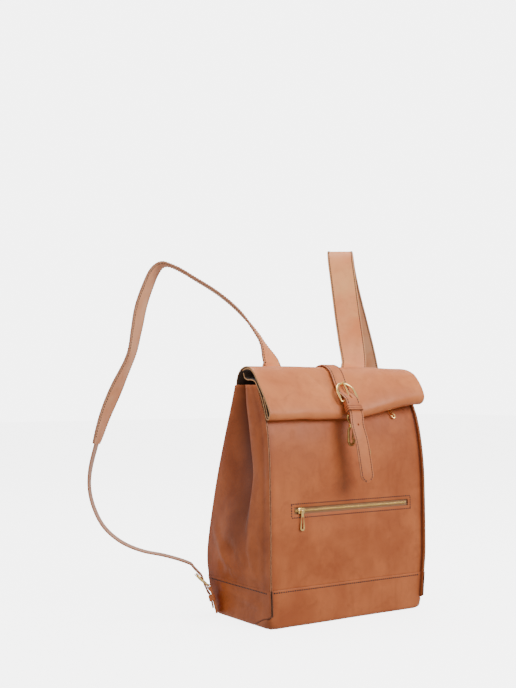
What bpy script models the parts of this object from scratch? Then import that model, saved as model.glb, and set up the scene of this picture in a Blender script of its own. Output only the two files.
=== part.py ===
"""Roll-top leather backpack, modelled piece by piece at its real size.

Metres, +Z up.  +X is the viewer's right, -Y the front of the bag, +Y the wearer's side.
The origin is the middle of the underside of the base.
"""

import math

import bmesh
import bpy
from mathutils import Matrix, Vector

MM = 0.001

# Driving dimensions of the bag
HALF_WIDTH = 150 * MM
LEATHER = 2.0 * MM
GAP = 0.4 * MM
BAND_TOP = 58 * MM
PANEL_BOTTOM = 48 * MM
PANEL_TOP = 363 * MM
BACK_TOP = 366 * MM
PLEAT_DEPTH = 48 * MM
PLEAT_START = 150 * MM

# Outer faces of the front and back panels, as (z, y)
FRONT_PROFILE = [(0, -67), (60, -67), (170, -67), (250, -63.5), (305, -55), (340, -40), (363, -28.5)]
BACK_PROFILE = [(0, 73), (30, 90), (58, 99), (85, 102), (120, 97), (200, 76.5), (280, 51), (330, 33.5), (366, 21)]

# Rolled top: the outer layer's section as (y, z) over the left half and at the right end, and the stretch of
# it that the inner layer lines
ROLL_LEFT = [(21.5, 368), (17.5, 377), (9, 385), (-2, 388.5), (-13, 387.5), (-23, 382), (-33, 371), (-43, 357.5),
             (-55.5, 341), (-66.5, 323), (-68.3, 314.5), (-64.3, 309), (-58.6, 311.2), (-54.5, 322), (-46.6, 341),
             (-35.5, 357.8), (-28.5, 366), (-18, 368.6), (-8, 368.9), (-0.5, 372), (2.5, 379)]
ROLL_RIGHT = [(21.5, 368), (17.5, 377), (8, 384.5), (-6, 387), (-20, 387), (-36, 385), (-53, 378), (-65.5, 365),
              (-74, 351), (-76.5, 341), (-73, 333.5), (-65, 330), (-56.5, 331), (-49.5, 337), (-43, 345.5),
              (-36, 357), (-29, 366), (-19.5, 369), (-9.5, 370), (-2.5, 374), (1, 380)]
ROLL_TURN_START = 0.0
ROLL_LAYER_STEP = 2.8 * MM
ROLL_INNER_START = 4
ROLL_INNER_END = 29

# Buckles: bar, wire, and the clearances of the straps that pass them
WIRE = 2.8 * MM
FRAME_LENGTH = 27 * MM
FRAME_ROOM = 2.2 * MM
CHAPE = 3.2 * MM
BILLET = 2.4 * MM
KEEPER_WALL = 1.4 * MM
PIN = 2.4 * MM

CLOSURE_WIDTH = 25 * MM
STRAP_WIDTH = 45 * MM
STRAP_THICKNESS = 3.6 * MM
LOWER_WIDTH = 22 * MM

# Zips
ZIP_HALF_LENGTH = 113 * MM
ZIP_WINDOW = 10 * MM
FRONT_ZIP_CENTRE_X = 9 * MM
FRONT_ZIP_Z = 172 * MM
UPPER_ZIP_Z = 330 * MM


# ---------------------------------------------------------------- scene helpers

def clear_scene():
    for obj in list(bpy.data.objects):
        bpy.data.objects.remove(obj, do_unlink=True)


def new_collection(name):
    collection = bpy.data.collections.new(name)
    bpy.context.scene.collection.children.link(collection)
    return collection


def material(name, colour, roughness, metallic=0.0):
    mat = bpy.data.materials.new(name)
    mat.use_nodes = True
    shader = mat.node_tree.nodes["Principled BSDF"]
    shader.inputs["Base Color"].default_value = (*colour, 1.0)
    shader.inputs["Roughness"].default_value = roughness
    shader.inputs["Metallic"].default_value = metallic
    return mat


clear_scene()
PARTS = new_collection("leather_backpack")
CUTTERS = new_collection("cutters")
TAN = material("tan_leather", (0.46, 0.17, 0.09), 0.45)
SUEDE = material("suede_flesh_side", (0.17, 0.08, 0.04), 0.9)
BOARD = material("fibre_board", (0.12, 0.09, 0.06), 0.8)
TAPE = material("zip_tape", (0.56, 0.33, 0.16), 0.85)
LINING = material("pocket_lining", (0.35, 0.22, 0.12), 0.9)
BRASS = material("polished_brass", (0.83, 0.62, 0.29), 0.22, 1.0)
ANTIQUE = material("antique_brass", (0.35, 0.27, 0.15), 0.35, 1.0)


def link(name, data, mat, place=None):
    obj = bpy.data.objects.new(name, data)
    data.materials.append(mat)
    PARTS.objects.link(obj)
    if place is not None:
        obj.matrix_world = place
    return obj


def face_outward(bm):
    """Turn a closed mesh so that its faces point out of it."""
    bmesh.ops.recalc_face_normals(bm, faces=bm.faces)
    if bm.calc_volume(signed=True) < 0:
        bmesh.ops.reverse_faces(bm, faces=bm.faces)


def mesh_from(bm, name):
    face_outward(bm)
    mesh = bpy.data.meshes.new(name)
    bm.to_mesh(mesh)
    bm.free()
    return mesh


def use_as_cutter(obj):
    for collection in list(obj.users_collection):
        collection.objects.unlink(obj)
    CUTTERS.objects.link(obj)
    obj.hide_render = True
    obj.display_type = "WIRE"


def boolean(target, tool, operation):
    use_as_cutter(tool)
    modifier = target.modifiers.new(tool.name, "BOOLEAN")
    modifier.object = tool
    modifier.operation = operation
    return target


def box(name, low, high, mat, place=None):
    bm = bmesh.new()
    bmesh.ops.create_cube(bm, size=1.0)
    low = Vector(low)
    high = Vector(high)
    for vert in bm.verts:
        vert.co = Vector(low[i] + (vert.co[i] + 0.5) * (high[i] - low[i]) for i in range(3))
    return link(name, mesh_from(bm, name), mat, place)


def cylinder(name, start, end, radius, mat, place=None, sides=16, end_radius=None):
    start = Vector(start)
    end = Vector(end)
    bm = bmesh.new()
    bmesh.ops.create_cone(bm, cap_ends=True, segments=sides, radius1=radius,
                          radius2=radius if end_radius is None else end_radius, depth=(end - start).length)
    turn = (end - start).to_track_quat("Z", "Y").to_matrix().to_4x4()
    bm.transform(Matrix.Translation((start + end) / 2) @ turn)
    return link(name, mesh_from(bm, name), mat, place)


def plate(name, outlines, thickness, mat, place=None):
    """A flat piece: closed outlines in its local XY plane (holes included), centred on z = 0."""
    curve = bpy.data.curves.new(name, "CURVE")
    curve.dimensions = "2D"
    curve.fill_mode = "BOTH"
    curve.extrude = thickness / 2
    for outline in outlines:
        spline = curve.splines.new("POLY")
        spline.points.add(len(outline) - 1)
        for point, (x, y) in zip(spline.points, outline):
            point.co = (x, y, 0.0, 1.0)
        spline.use_cyclic_u = True
    flat = bpy.data.objects.new(name + "_outline", curve)
    CUTTERS.objects.link(flat)
    bpy.context.view_layer.update()
    mesh = bpy.data.meshes.new_from_object(flat.evaluated_get(bpy.context.evaluated_depsgraph_get()))
    bpy.data.objects.remove(flat, do_unlink=True)
    bm = bmesh.new()
    bm.from_mesh(mesh)
    bmesh.ops.remove_doubles(bm, verts=bm.verts, dist=0.00001)
    face_outward(bm)
    bm.to_mesh(mesh)
    bm.free()
    return link(name, mesh, mat, place)


def wire(name, points, radius, mat, place=None, cyclic=False, resolution=2):
    curve = bpy.data.curves.new(name, "CURVE")
    curve.dimensions = "3D"
    curve.bevel_depth = radius
    curve.bevel_resolution = resolution
    curve.use_fill_caps = not cyclic
    spline = curve.splines.new("POLY")
    spline.points.add(len(points) - 1)
    for point, co in zip(spline.points, points):
        point.co = (*co, 1.0)
    spline.use_cyclic_u = cyclic
    return link(name, curve, mat, place)


def wire_mesh(name, points, radius, mat, place=None, resolution=2):
    """A wire as a welded mesh, so that it can be joined to other shapes."""
    source = wire(name + "_curve", points, radius, mat, place, resolution=resolution)
    bpy.context.view_layer.update()
    mesh = bpy.data.meshes.new_from_object(source.evaluated_get(bpy.context.evaluated_depsgraph_get()))
    where = source.matrix_world.copy()
    bpy.data.objects.remove(source, do_unlink=True)
    bm = bmesh.new()
    bm.from_mesh(mesh)
    bmesh.ops.remove_doubles(bm, verts=bm.verts, dist=0.00001)
    face_outward(bm)
    bm.to_mesh(mesh)
    bm.free()
    return link(name, mesh, mat, where)


# ---------------------------------------------------------------- curves and frames

def smooth(points, steps):
    """Points on a centripetal curve through the given points, steps to each stretch."""
    points = [Vector(p) for p in points]
    first = points[0] * 2 - points[1]
    last = points[-1] * 2 - points[-2]
    padded = [first, *points, last]
    result = []
    for a, b, c, d in zip(padded, padded[1:], padded[2:], padded[3:]):
        reach = (c - b).length
        start_slope = (c - a) * (reach / max((c - a).length, 1e-9))
        end_slope = (d - b) * (reach / max((d - b).length, 1e-9))
        for step in range(steps):
            t = step / steps
            near = 2 * t ** 3 - 3 * t ** 2 + 1
            far = 1 - near
            leave = t ** 3 - 2 * t ** 2 + t
            arrive = t ** 3 - t ** 2
            result.append(b * near + c * far + start_slope * leave + end_slope * arrive)
    result.append(points[-1])
    return result


def ramp(value, low, high):
    t = min(1.0, max(0.0, (value - low) / (high - low)))
    return t * t * (3 - 2 * t)


def smooth_profile(profile, low, high, shift, rows=18):
    """(y, z) points up a panel between two heights, moved by shift along Y."""
    curve = smooth([(z * MM, y * MM) for z, y in profile], 8)
    result = []
    for row in range(rows + 1):
        z = low + (high - low) * row / rows
        after = next((i for i, p in enumerate(curve) if p[0] >= z), len(curve) - 1)
        after = max(1, after)
        a = curve[after - 1]
        b = curve[after]
        y = a[1] + (b[1] - a[1]) * (z - a[0]) / (b[0] - a[0])
        result.append((y + shift, z))
    return result


def frame_matrix(origin, along, out):
    """Local X across, local Y along and local Z out of a strap or panel."""
    y_axis = Vector(along).normalized()
    z_axis = Vector(out)
    z_axis = (z_axis - y_axis * z_axis.dot(y_axis)).normalized()
    x_axis = y_axis.cross(z_axis)
    rotation = Matrix((x_axis, y_axis, z_axis)).transposed().to_4x4()
    return Matrix.Translation(origin) @ rotation


# ---------------------------------------------------------------- sheet and strap builders

def sheet(name, section, x_low, x_high, thickness, mat, columns=1):
    """A leather sheet: a (y, z) section, fixed or given by a function of x, run along X and thickened."""
    bm = bmesh.new()
    rows = []
    for column in range(columns + 1):
        x = x_low + (x_high - x_low) * column / columns
        here = section(x) if callable(section) else section
        rows.append([bm.verts.new((x, y, z)) for y, z in here])
    for left, right in zip(rows, rows[1:]):
        for i in range(len(left) - 1):
            bm.faces.new((left[i], right[i], right[i + 1], left[i + 1]))
    obj = link(name, mesh_from(bm, name), mat)
    thick = obj.modifiers.new("thickness", "SOLIDIFY")
    thick.thickness = thickness
    thick.offset = 0.0
    thick.use_even_offset = True
    return obj


def strap(name, centres, across, widths, thickness, mat):
    """A flat strap lofted along centre points; across holds its width direction at each."""
    bm = bmesh.new()
    rings = []
    for i, centre in enumerate(centres):
        tangent = (centres[min(i + 1, len(centres) - 1)] - centres[max(i - 1, 0)]).normalized()
        wide = across[i] - tangent * across[i].dot(tangent)
        wide.normalize()
        out = tangent.cross(wide)
        half = wide * (widths[i] / 2)
        rise = out * (thickness / 2)
        rings.append([bm.verts.new(centre + a * half + b * rise) for a, b in ((-1, -1), (1, -1), (1, 1), (-1, 1))])
    for ring, following in zip(rings, rings[1:]):
        for k in range(4):
            bm.faces.new((ring[k], ring[(k + 1) % 4], following[(k + 1) % 4], following[k]))
    bm.faces.new(rings[0])
    bm.faces.new(rings[-1])
    return link(name, mesh_from(bm, name), mat)


# ---------------------------------------------------------------- the bag's body

def front_y(z):
    return smooth_profile(FRONT_PROFILE, z, z + MM, 0.0, rows=1)[0][0]


def build_panels():
    front = smooth_profile(FRONT_PROFILE, PANEL_BOTTOM, PANEL_TOP, LEATHER / 2)
    back = smooth_profile(BACK_PROFILE, PANEL_BOTTOM, BACK_TOP, -LEATHER / 2)
    sheet("back_panel", back, -HALF_WIDTH, HALF_WIDTH, LEATHER, TAN)
    return sheet("front_panel", front, -HALF_WIDTH, HALF_WIDTH, LEATHER, TAN)


def build_bands():
    low = LEATHER + GAP
    outside = GAP + LEATHER / 2
    front = smooth_profile(FRONT_PROFILE, low, BAND_TOP, -outside, rows=2)
    back = smooth_profile(BACK_PROFILE, low, BAND_TOP, outside, rows=6)
    sheet("front_band", front, -HALF_WIDTH, HALF_WIDTH, LEATHER, TAN)
    sheet("back_band", back, -HALF_WIDTH, HALF_WIDTH, LEATHER, TAN)
    edge = smooth_profile(BACK_PROFILE, low, BAND_TOP, -LEATHER - GAP, rows=6)
    front_edge = -67 * MM + LEATHER + GAP
    outline = [(front_edge, low), *edge, (front_edge, BAND_TOP)]
    stand = Matrix(((0, 0, 1, 0), (1, 0, 0, 0), (0, 1, 0, 0), (0, 0, 0, 1)))
    for side, sign in (("left", -1), ("right", 1)):
        place = Matrix.Translation((sign * (HALF_WIDTH - LEATHER / 2), 0, 0)) @ stand
        plate("side_band_" + side, [outline], LEATHER, TAN, place)
    base_back = 73 * MM + GAP + LEATHER
    base_front = -67 * MM - GAP - LEATHER
    box("base_panel", (-HALF_WIDTH, base_front, 0), (HALF_WIDTH, base_back, LEATHER), TAN)
    box("base_board", (-142 * MM, -62 * MM, 2.4 * MM), (142 * MM, 66 * MM, 4.9 * MM), BOARD)


def build_gusset(side, sign):
    """The side wall, drawn in to a deep pleat towards the mouth of the bag."""
    rows = 14
    columns = 12
    edge_x = HALF_WIDTH - LEATHER - GAP - LEATHER / 2
    clear = LEATHER + 1.4 * MM
    fronts = smooth_profile(FRONT_PROFILE, PANEL_BOTTOM, PANEL_TOP - MM, clear, rows=rows)
    backs = smooth_profile(BACK_PROFILE, PANEL_BOTTOM, PANEL_TOP - MM, -clear, rows=rows)
    bm = bmesh.new()
    grid = []
    for (y_front, z), (y_back, _) in zip(fronts, backs):
        depth = PLEAT_DEPTH * ramp(z, PLEAT_START, PANEL_TOP)
        bulge = 5 * MM * ramp(z, 75 * MM, 110 * MM) * (1 - ramp(z, 130 * MM, 230 * MM))
        line = []
        for column in range(columns + 1):
            t = column / columns
            fold = 1 - abs(2 * t - 1)
            x = edge_x - depth * fold + bulge * math.sin(math.pi * t)
            line.append(bm.verts.new((sign * x, y_front + (y_back - y_front) * t, z)))
        grid.append(line)
    for lower, upper in zip(grid, grid[1:]):
        for i in range(columns):
            bm.faces.new((lower[i], lower[i + 1], upper[i + 1], upper[i]))
    obj = link("gusset_" + side, mesh_from(bm, "gusset_" + side), TAN)
    thick = obj.modifiers.new("thickness", "SOLIDIFY")
    thick.thickness = LEATHER
    thick.offset = 0.0
    return obj


# ---------------------------------------------------------------- zips

def teardrop(length, top_half, bottom_radius):
    """Outline of a zip pull hanging from the origin: narrow top, round foot."""
    points = [(-top_half, 0.0), (-top_half * 1.15, -length * 0.35)]
    centre = -length + bottom_radius
    for step in range(13):
        angle = math.radians(190 + 160 * step / 12)
        points.append((bottom_radius * math.cos(angle), centre + bottom_radius * math.sin(angle)))
    points.append((top_half * 1.15, -length * 0.35))
    points.append((top_half, 0.0))
    return points


def slot_outline(x_half, y_low, y_high, steps=6):
    """A round-ended slot along local Y."""
    points = []
    for step in range(steps + 1):
        angle = math.pi * step / steps
        points.append((x_half * math.cos(angle), y_high - x_half + x_half * math.sin(angle)))
    for step in range(steps + 1):
        angle = math.pi + math.pi * step / steps
        points.append((x_half * math.cos(angle), y_low + x_half + x_half * math.sin(angle)))
    return points


def leaning_outline(points, angle):
    return [(x * math.cos(angle) - y * math.sin(angle), x * math.sin(angle) + y * math.cos(angle)) for x, y in points]


def build_zip(prefix, place, slider_x, pouch_section, panel, pull_lean):
    """A window zip: local X runs along the chain, Y up the panel, Z out of it (panel face at 0)."""
    length = ZIP_HALF_LENGTH
    half_window = ZIP_WINDOW / 2
    window = box(prefix + "_window", (-length, -half_window, -8 * MM), (length, half_window, 8 * MM), TAN, place)
    boolean(panel, window, "DIFFERENCE")
    tape_low = -LEATHER - GAP - 0.8 * MM
    tape_high = -LEATHER - GAP
    reach = length + 6 * MM
    box(prefix + "_tape_upper", (-reach, GAP / 2, tape_low), (reach, 11 * MM, tape_high), TAPE, place)
    box(prefix + "_tape_lower", (-reach, -11 * MM, tape_low), (reach, -GAP / 2, tape_high), TAPE, place)
    chain_half = 2.2 * MM
    box(prefix + "_chain", (-length + MM, -chain_half, tape_high + GAP), (length - MM, chain_half, -0.2 * MM),
        BRASS, place)

    slider_place = place @ Matrix.Translation((slider_x, 0, 0))
    slider = box(prefix + "_slider", (-5.5 * MM, -4.2 * MM, 0.3 * MM), (5.5 * MM, 4.2 * MM, 1.6 * MM),
                 BRASS, slider_place)
    leg_x = 2.9 * MM
    bar_z = 3.6 * MM
    staple = [(-leg_x, 0, MM), (-leg_x, 0, bar_z), (leg_x, 0, bar_z), (leg_x, 0, MM)]
    bridge = wire_mesh(prefix + "_bridge", staple, 0.6 * MM, BRASS, slider_place, resolution=1)
    boolean(slider, bridge, "UNION")

    hang = slider_place @ Matrix.Translation((0, 0, bar_z))
    body = leaning_outline(teardrop(30 * MM, 2.0 * MM, 4.2 * MM), pull_lean)
    opening = leaning_outline(slot_outline(1.7 * MM, -27.5 * MM, -9 * MM), pull_lean)
    pull = plate(prefix + "_pull", [body, opening], 1.2 * MM, BRASS, hang)
    barrel = cylinder(prefix + "_barrel", (-2.0 * MM, 0, 0), (2.0 * MM, 0, 0), 1.6 * MM, BRASS, hang)
    bore = cylinder(prefix + "_bore", (-3 * MM, 0, 0), (3 * MM, 0, 0), 0.95 * MM, BRASS, hang)
    boolean(pull, barrel, "UNION")
    boolean(pull, bore, "DIFFERENCE")

    half = length + 2 * MM
    middle = place.translation.x
    sheet(prefix + "_pouch", smooth(pouch_section, 4), middle - half, middle + half, 0.8 * MM, LINING)


def build_zips(panel):
    upright = frame_matrix((FRONT_ZIP_CENTRE_X, front_y(FRONT_ZIP_Z), FRONT_ZIP_Z), (0, 0, 1), (0, -1, 0))
    front_pouch = [(-58.6 * MM, 186 * MM), (-57.4 * MM, 130 * MM), (-56.4 * MM, 74 * MM), (-58.4 * MM, 71.6 * MM),
                   (-60.6 * MM, 74 * MM), (-61.6 * MM, 120 * MM), (-62.2 * MM, 166 * MM)]
    build_zip("front_zip", upright, -101 * MM, front_pouch, panel, 0.0)

    low = front_y(UPPER_ZIP_Z - 12 * MM)
    high = front_y(UPPER_ZIP_Z + 12 * MM)
    slope = Vector((0, high - low, 24 * MM))
    outward = Vector((0, -1, 0))
    leaning = frame_matrix((-9 * MM, (low + high) / 2 + 0.9 * MM, UPPER_ZIP_Z), slope, outward)
    upper_pouch = [(-31 * MM, 343 * MM), (-36 * MM, 320 * MM), (-40 * MM, 280 * MM), (-42 * MM, 240 * MM),
                   (-44 * MM, 237.6 * MM), (-46 * MM, 240 * MM), (-47 * MM, 280 * MM), (-45.6 * MM, 318 * MM)]
    build_zip("upper_zip", leaning, 98 * MM, upper_pouch, panel, math.radians(28))


# ---------------------------------------------------------------- rolled top

def roll_section(x):
    """The outer layer at x: its lower edge climbs and its front swells towards the right end."""
    along = ramp(x, ROLL_TURN_START, HALF_WIDTH)
    points = []
    for left, right in zip(ROLL_LEFT, ROLL_RIGHT):
        points.append((Vector(left) * (1 - along) + Vector(right) * along) * MM)
    return smooth(points, 2)


def roll_lining_section(x):
    """The inner layer at x, one layer step inside the outer one."""
    outer = roll_section(x)
    section = []
    for i in range(ROLL_INNER_START, ROLL_INNER_END):
        tangent = (outer[i + 1] - outer[i - 1]).normalized()
        section.append(outer[i] + Vector((tangent.y, -tangent.x)) * -ROLL_LAYER_STEP)
    return section


def build_roll():
    sheet("roll_back_sheet", roll_section, -HALF_WIDTH, HALF_WIDTH, LEATHER, TAN, columns=6)
    inset = 1.5 * MM
    sheet("roll_front_sheet", roll_lining_section, -HALF_WIDTH + inset, HALF_WIDTH - inset, 1.8 * MM, SUEDE,
          columns=6)


# ---------------------------------------------------------------- buckles

def build_chape(name, place, width, length, mat, end=None, end_bore=None, prong_slot=True, bar=WIRE):
    """A folded tab: local Y up to the bar at the origin, its back face at z = -fold.

    end is the X span of a narrower lower end."""
    bore = bar / 2 + 0.3 * MM
    fold = bore + 1.6 * MM
    side = Matrix(((0, 0, 1, 0), (1, 0, 0, 0), (0, 1, 0, 0), (0, 0, 0, 1)))
    outline = []
    for step in range(9):
        angle = math.radians(-90 + 180 * step / 8)
        outline.append((fold * math.cos(angle), fold * math.sin(angle)))
    top = -fold + CHAPE
    outline += [(-fold * 1.5, fold * 0.75), (-fold * 2.8, top)]
    if end_bore is None:
        outline += [(-length, top), (-length, -fold)]
    else:
        end_fold = end_bore + 1.4 * MM
        middle = top - end_fold
        outline.append((-length + end_fold * 1.6, top))
        for step in range(9):
            angle = math.radians(90 + 180 * step / 8)
            outline.append((-length + end_fold * math.cos(angle), middle + end_fold * math.sin(angle)))
        outline.append((-length + end_fold * 1.4, -fold))
    chape = plate(name, [outline], width, mat, place @ side)
    bar_hole = cylinder(name + "_bar_hole", (-width, 0, 0), (width, 0, 0), bore, mat, place)
    boolean(chape, bar_hole, "DIFFERENCE")
    if end_bore is not None:
        end_hole = cylinder(name + "_end_hole", (-width, -length, middle), (width, -length, middle), end_bore,
                            mat, place)
        boolean(chape, end_hole, "DIFFERENCE")
    if end is not None:
        for sign, inner in zip((-1, 1), end):
            outer = sign * width
            low = (min(inner, outer), -length * 1.5, -8 * MM)
            high = (max(inner, outer), -length + 9 * MM, 8 * MM)
            boolean(chape, box(name + ("_trim_left", "_trim_right")[sign > 0], low, high, mat, place), "DIFFERENCE")
    if prong_slot:
        half = PIN / 2 + 0.5 * MM
        slot = box(name + "_prong_slot", (-half, -5 * MM, -8 * MM), (half, 8 * MM, 8 * MM), mat, place)
        boolean(chape, slot, "DIFFERENCE")
    return chape


def arch_points(half, length, steps=18):
    """A straight bar at y = 0 and a half-round arch above it, as one closed loop."""
    points = [(-half, 0.0, 0.0), (-half * 0.5, 0.0, 0.0), (half * 0.5, 0.0, 0.0), (half, 0.0, 0.0)]
    shoulder = length - half
    for step in range(1, steps):
        angle = math.pi * step / steps
        points.append((half * math.cos(angle), shoulder + half * math.sin(angle), 0.0))
    return points


def build_prong(name, place, length):
    """A pin with an eye round the bar; it lies over the far side of the frame."""
    eye = WIRE / 2 + 1.5 * MM
    hole = WIRE / 2 + 0.35 * MM
    over = WIRE / 2 + 0.4 * MM
    tip = length + 2.2 * MM
    outline = []
    for step in range(15):
        angle = math.radians(60 + 320 * step / 15)
        outline.append((eye * math.cos(angle), eye * math.sin(angle)))
    outline += [(eye * 0.98, 0.4 * MM), (tip * 0.6, over - 0.9 * MM), (tip, over + 0.2 * MM), (tip, over + PIN * 0.6)]
    outline += [(tip * 0.6, over + PIN - 0.6 * MM), (eye * 0.9, eye * 0.75)]
    side = Matrix(((0, 0, 1, 0), (1, 0, 0, 0), (0, 1, 0, 0), (0, 0, 0, 1)))
    prong = plate(name, [outline], PIN, BRASS, place @ side)
    bore = cylinder(name + "_bore", (-4 * MM, 0, 0), (4 * MM, 0, 0), hole, BRASS, place)
    return boolean(prong, bore, "DIFFERENCE")


def build_keeper(name, place, width, y_low, y_high, z_low, z_high):
    half = width / 2 + 0.8 * MM
    wall = KEEPER_WALL
    outer = box(name, (-half - wall, y_low, z_low - wall), (half + wall, y_high, z_high + wall), TAN, place)
    inner = box(name + "_hole", (-half, y_low - MM, z_low), (half, y_high + MM, z_high), TAN, place)
    return boolean(outer, inner, "DIFFERENCE")


def billet_through(place, tilt=0.0):
    """Centre points of a strap that comes under the arch, over the bar and down the tab."""
    far = [(46, -5.0), (36, -4.5), (27.5, -4.2), (19.5, -3.5), (8.5, 2.2), (1, 5.1)]
    near = [(-7, 4.0), (-12.5, 2.0), (-18, 1.7), (-24, 1.7)]
    leaning = place @ Matrix.Rotation(tilt, 4, "X")
    points = [leaning @ Vector((0, y * MM, z * MM)) for y, z in far]
    points += [place @ Vector((0, y * MM, z * MM)) for y, z in near]
    return points


def build_buckle(prefix, place, width, length=FRAME_LENGTH, room=FRAME_ROOM, tilt=0.0):
    half = width / 2 + room + WIRE / 2
    frame_place = place @ Matrix.Rotation(tilt, 4, "X")
    wire(prefix + "_buckle_frame", arch_points(half, length), WIRE / 2, BRASS, frame_place, cyclic=True)
    build_prong(prefix + "_buckle_prong", frame_place, length)


# ---------------------------------------------------------------- closure strap, snap hook and ring

CLOSURE_BAR = Vector((0.002, -0.0691, 0.3356))
CLOSURE_UP = Vector((0.0, 0.571, 0.821))
CLOSURE_OUT = Vector((0.0, -0.821, 0.571))
CHAPE_LENGTH = 24.5 * MM
CHAPE_END = (-12.5 * MM, -2.5 * MM)
EYE_BORE = 1.5 * MM


def build_closure():
    place = frame_matrix(CLOSURE_BAR, CLOSURE_UP, CLOSURE_OUT)
    build_buckle("closure", place, CLOSURE_WIDTH, length=33.5 * MM, room=3 * MM)
    build_chape("closure_chape", place, CLOSURE_WIDTH, CHAPE_LENGTH, TAN, end=CHAPE_END, end_bore=EYE_BORE)
    build_keeper("closure_keeper", place, CLOSURE_WIDTH, -19.5 * MM, -8.5 * MM, -3.8 * MM, 4.9 * MM)
    over_roll = [(6.5, 25, 371), (6.5, 20.5, 380), (6.5, 10.5, 388.6), (6, -2, 392), (6, -14.5, 391), (5.5, -26, 385),
                 (4.5, -34, 377)]
    tail = [(-2, -91.5, 300), (1, -98, 275), (4, -102, 245), (6, -104, 224)]
    route = [Vector((x * MM, y * MM, z * MM)) for x, y, z in over_roll]
    route += billet_through(place)[1:]
    route += [Vector((x * MM, y * MM, z * MM)) for x, y, z in tail]
    centres = smooth(route, 4)
    widths = [CLOSURE_WIDTH] * len(centres)
    tip = centres[-1]
    direction = (centres[-1] - centres[-2]).normalized()
    for step in range(1, 5):
        reach = 12 * MM * step / 4
        centres.append(tip + direction * reach)
        widths.append(CLOSURE_WIDTH * (1 - (step / 4) ** 2 * 0.85))
    across = [Vector((1, 0, 0))] * len(centres)
    billet = strap("closure_strap", centres, across, widths, BILLET, TAN)
    half = PIN / 2 + 0.5 * MM
    slot = box("closure_slot", (-half, 1.5 * MM, -1.5 * MM), (half, 19.5 * MM, 9 * MM), TAN, place)
    boolean(billet, slot, "DIFFERENCE")
    hole_place = frame_matrix((-2 * MM, -91.5 * MM, 300 * MM), (0, 0, 1), (0, -1, 0.2))
    hole = cylinder("closure_hole", (0, 0, -6 * MM), (0, 0, 6 * MM), 1.8 * MM, TAN, hole_place)
    boolean(billet, hole, "DIFFERENCE")


def build_snap_hook():
    place = frame_matrix(CLOSURE_BAR, CLOSURE_UP, CLOSURE_OUT)
    end_fold = EYE_BORE + 1.4 * MM
    fold = WIRE / 2 + 0.3 * MM + 1.6 * MM
    eye = place @ Vector((sum(CHAPE_END) / 2, -CHAPE_LENGTH, -fold + CHAPE - end_fold))
    hang = Matrix.Translation(eye)
    half = 7 * MM
    drop = -11 * MM
    loop = [(half * 0.4, 0, drop), (half, 0, drop * 0.55), (half, 0, 0), (-half, 0, 0), (-half, 0, drop * 0.55),
            (-half * 0.4, 0, drop), (0, 0, drop)]
    wire_part = wire_mesh("swivel_loop", loop, 1.2 * MM, ANTIQUE, hang)
    swivel = cylinder("snap_hook_swivel", (0, 0, drop - 4.6 * MM), (0, 0, drop + 0.9 * MM), 1.7 * MM, ANTIQUE, hang)
    boolean(swivel, wire_part, "UNION")

    knob = cylinder("snap_hook_body", (0, 0, drop - 8 * MM), (0, 0, drop - 1.7 * MM), 3.7 * MM, ANTIQUE, hang,
                    sides=20)
    socket = cylinder("snap_hook_socket", (0, 0, drop - 5.2 * MM), (0, 0, drop), 2.2 * MM, ANTIQUE, hang)
    reach = 5.2 * MM
    top = drop - 8 * MM
    path = [(-reach * 0.4, 0, top + MM), (-reach, 0, top - 4 * MM), (-reach, 0, top - 20 * MM)]
    for step in range(1, 10):
        angle = math.pi + math.pi * step / 9
        path.append((reach * math.cos(angle), 0, top - 20 * MM + 6.2 * MM * math.sin(angle)))
    path.append((reach, 0, top - 17 * MM))
    hook = wire_mesh("snap_hook_wire", path, 1.4 * MM, ANTIQUE, hang)
    boolean(knob, hook, "UNION")
    boolean(knob, socket, "DIFFERENCE")

    gate_top = (reach * 0.45, 0, top - 2.2 * MM)
    gate = [gate_top, (reach * 0.7, 0, top - 6 * MM), (reach * 0.5, 0, top - 15 * MM), (reach * 0.35, 0, top - 18 * MM)]
    wire("snap_hook_gate", gate, 1.0 * MM, ANTIQUE, hang)


def build_ring():
    """A ring hanging from a folded tab, sewn to the front panel behind the tail of the closure strap."""
    ring_z = 258 * MM
    rise = 24 * MM
    up = Vector((0, front_y(ring_z + rise) - front_y(ring_z), rise)).normalized()
    out = Vector((0, -up.z, up.y))
    fold = 1.3 * MM + 0.3 * MM + 1.6 * MM
    centre = Vector((34 * MM, front_y(ring_z), ring_z)) + out * (fold + GAP)
    place = frame_matrix(centre, -up, out)
    build_chape("ring_tab", place, 12 * MM, 26 * MM, TAN, prong_slot=False, bar=2.6 * MM)
    half = 9.8 * MM
    loop = arch_points(half, 15 * MM, steps=12)
    wire("closure_ring", loop, 1.3 * MM, ANTIQUE, place, cyclic=True)


# ---------------------------------------------------------------- shoulder straps

SEWN_LEFT = [(-74, 34.6, 336), (-74, 29.6, 352), (-74, 29.4, 364.5)]
WIDE_LEFT = [(-74, 30.2, 367.6), (-73.3, 33.2, 380), (-71, 39, 394), (-76, 52, 422),
             (-89, 66, 452), (-110, 80, 482), (-138, 96, 509), (-170, 114, 532), (-197, 127, 549),
             (-215, 135, 554), (-229, 140, 544), (-240, 143, 521), (-251, 147, 486), (-258, 149, 448),
             (-265, 152, 410), (-283, 163, 361), (-300, 173, 313), (-312, 180, 268)]
LOWER_LEFT = [(-319, 186, 228), (-320, 186.5, 196), (-313, 182, 164), (-300, 173, 136), (-279, 157.5, 114),
              (-252, 139, 100), (-220, 117, 92)]
LEFT_BAR = (-165.5, 77, 45)
LEFT_ROOT = (-160, 65.5, 4)

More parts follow.
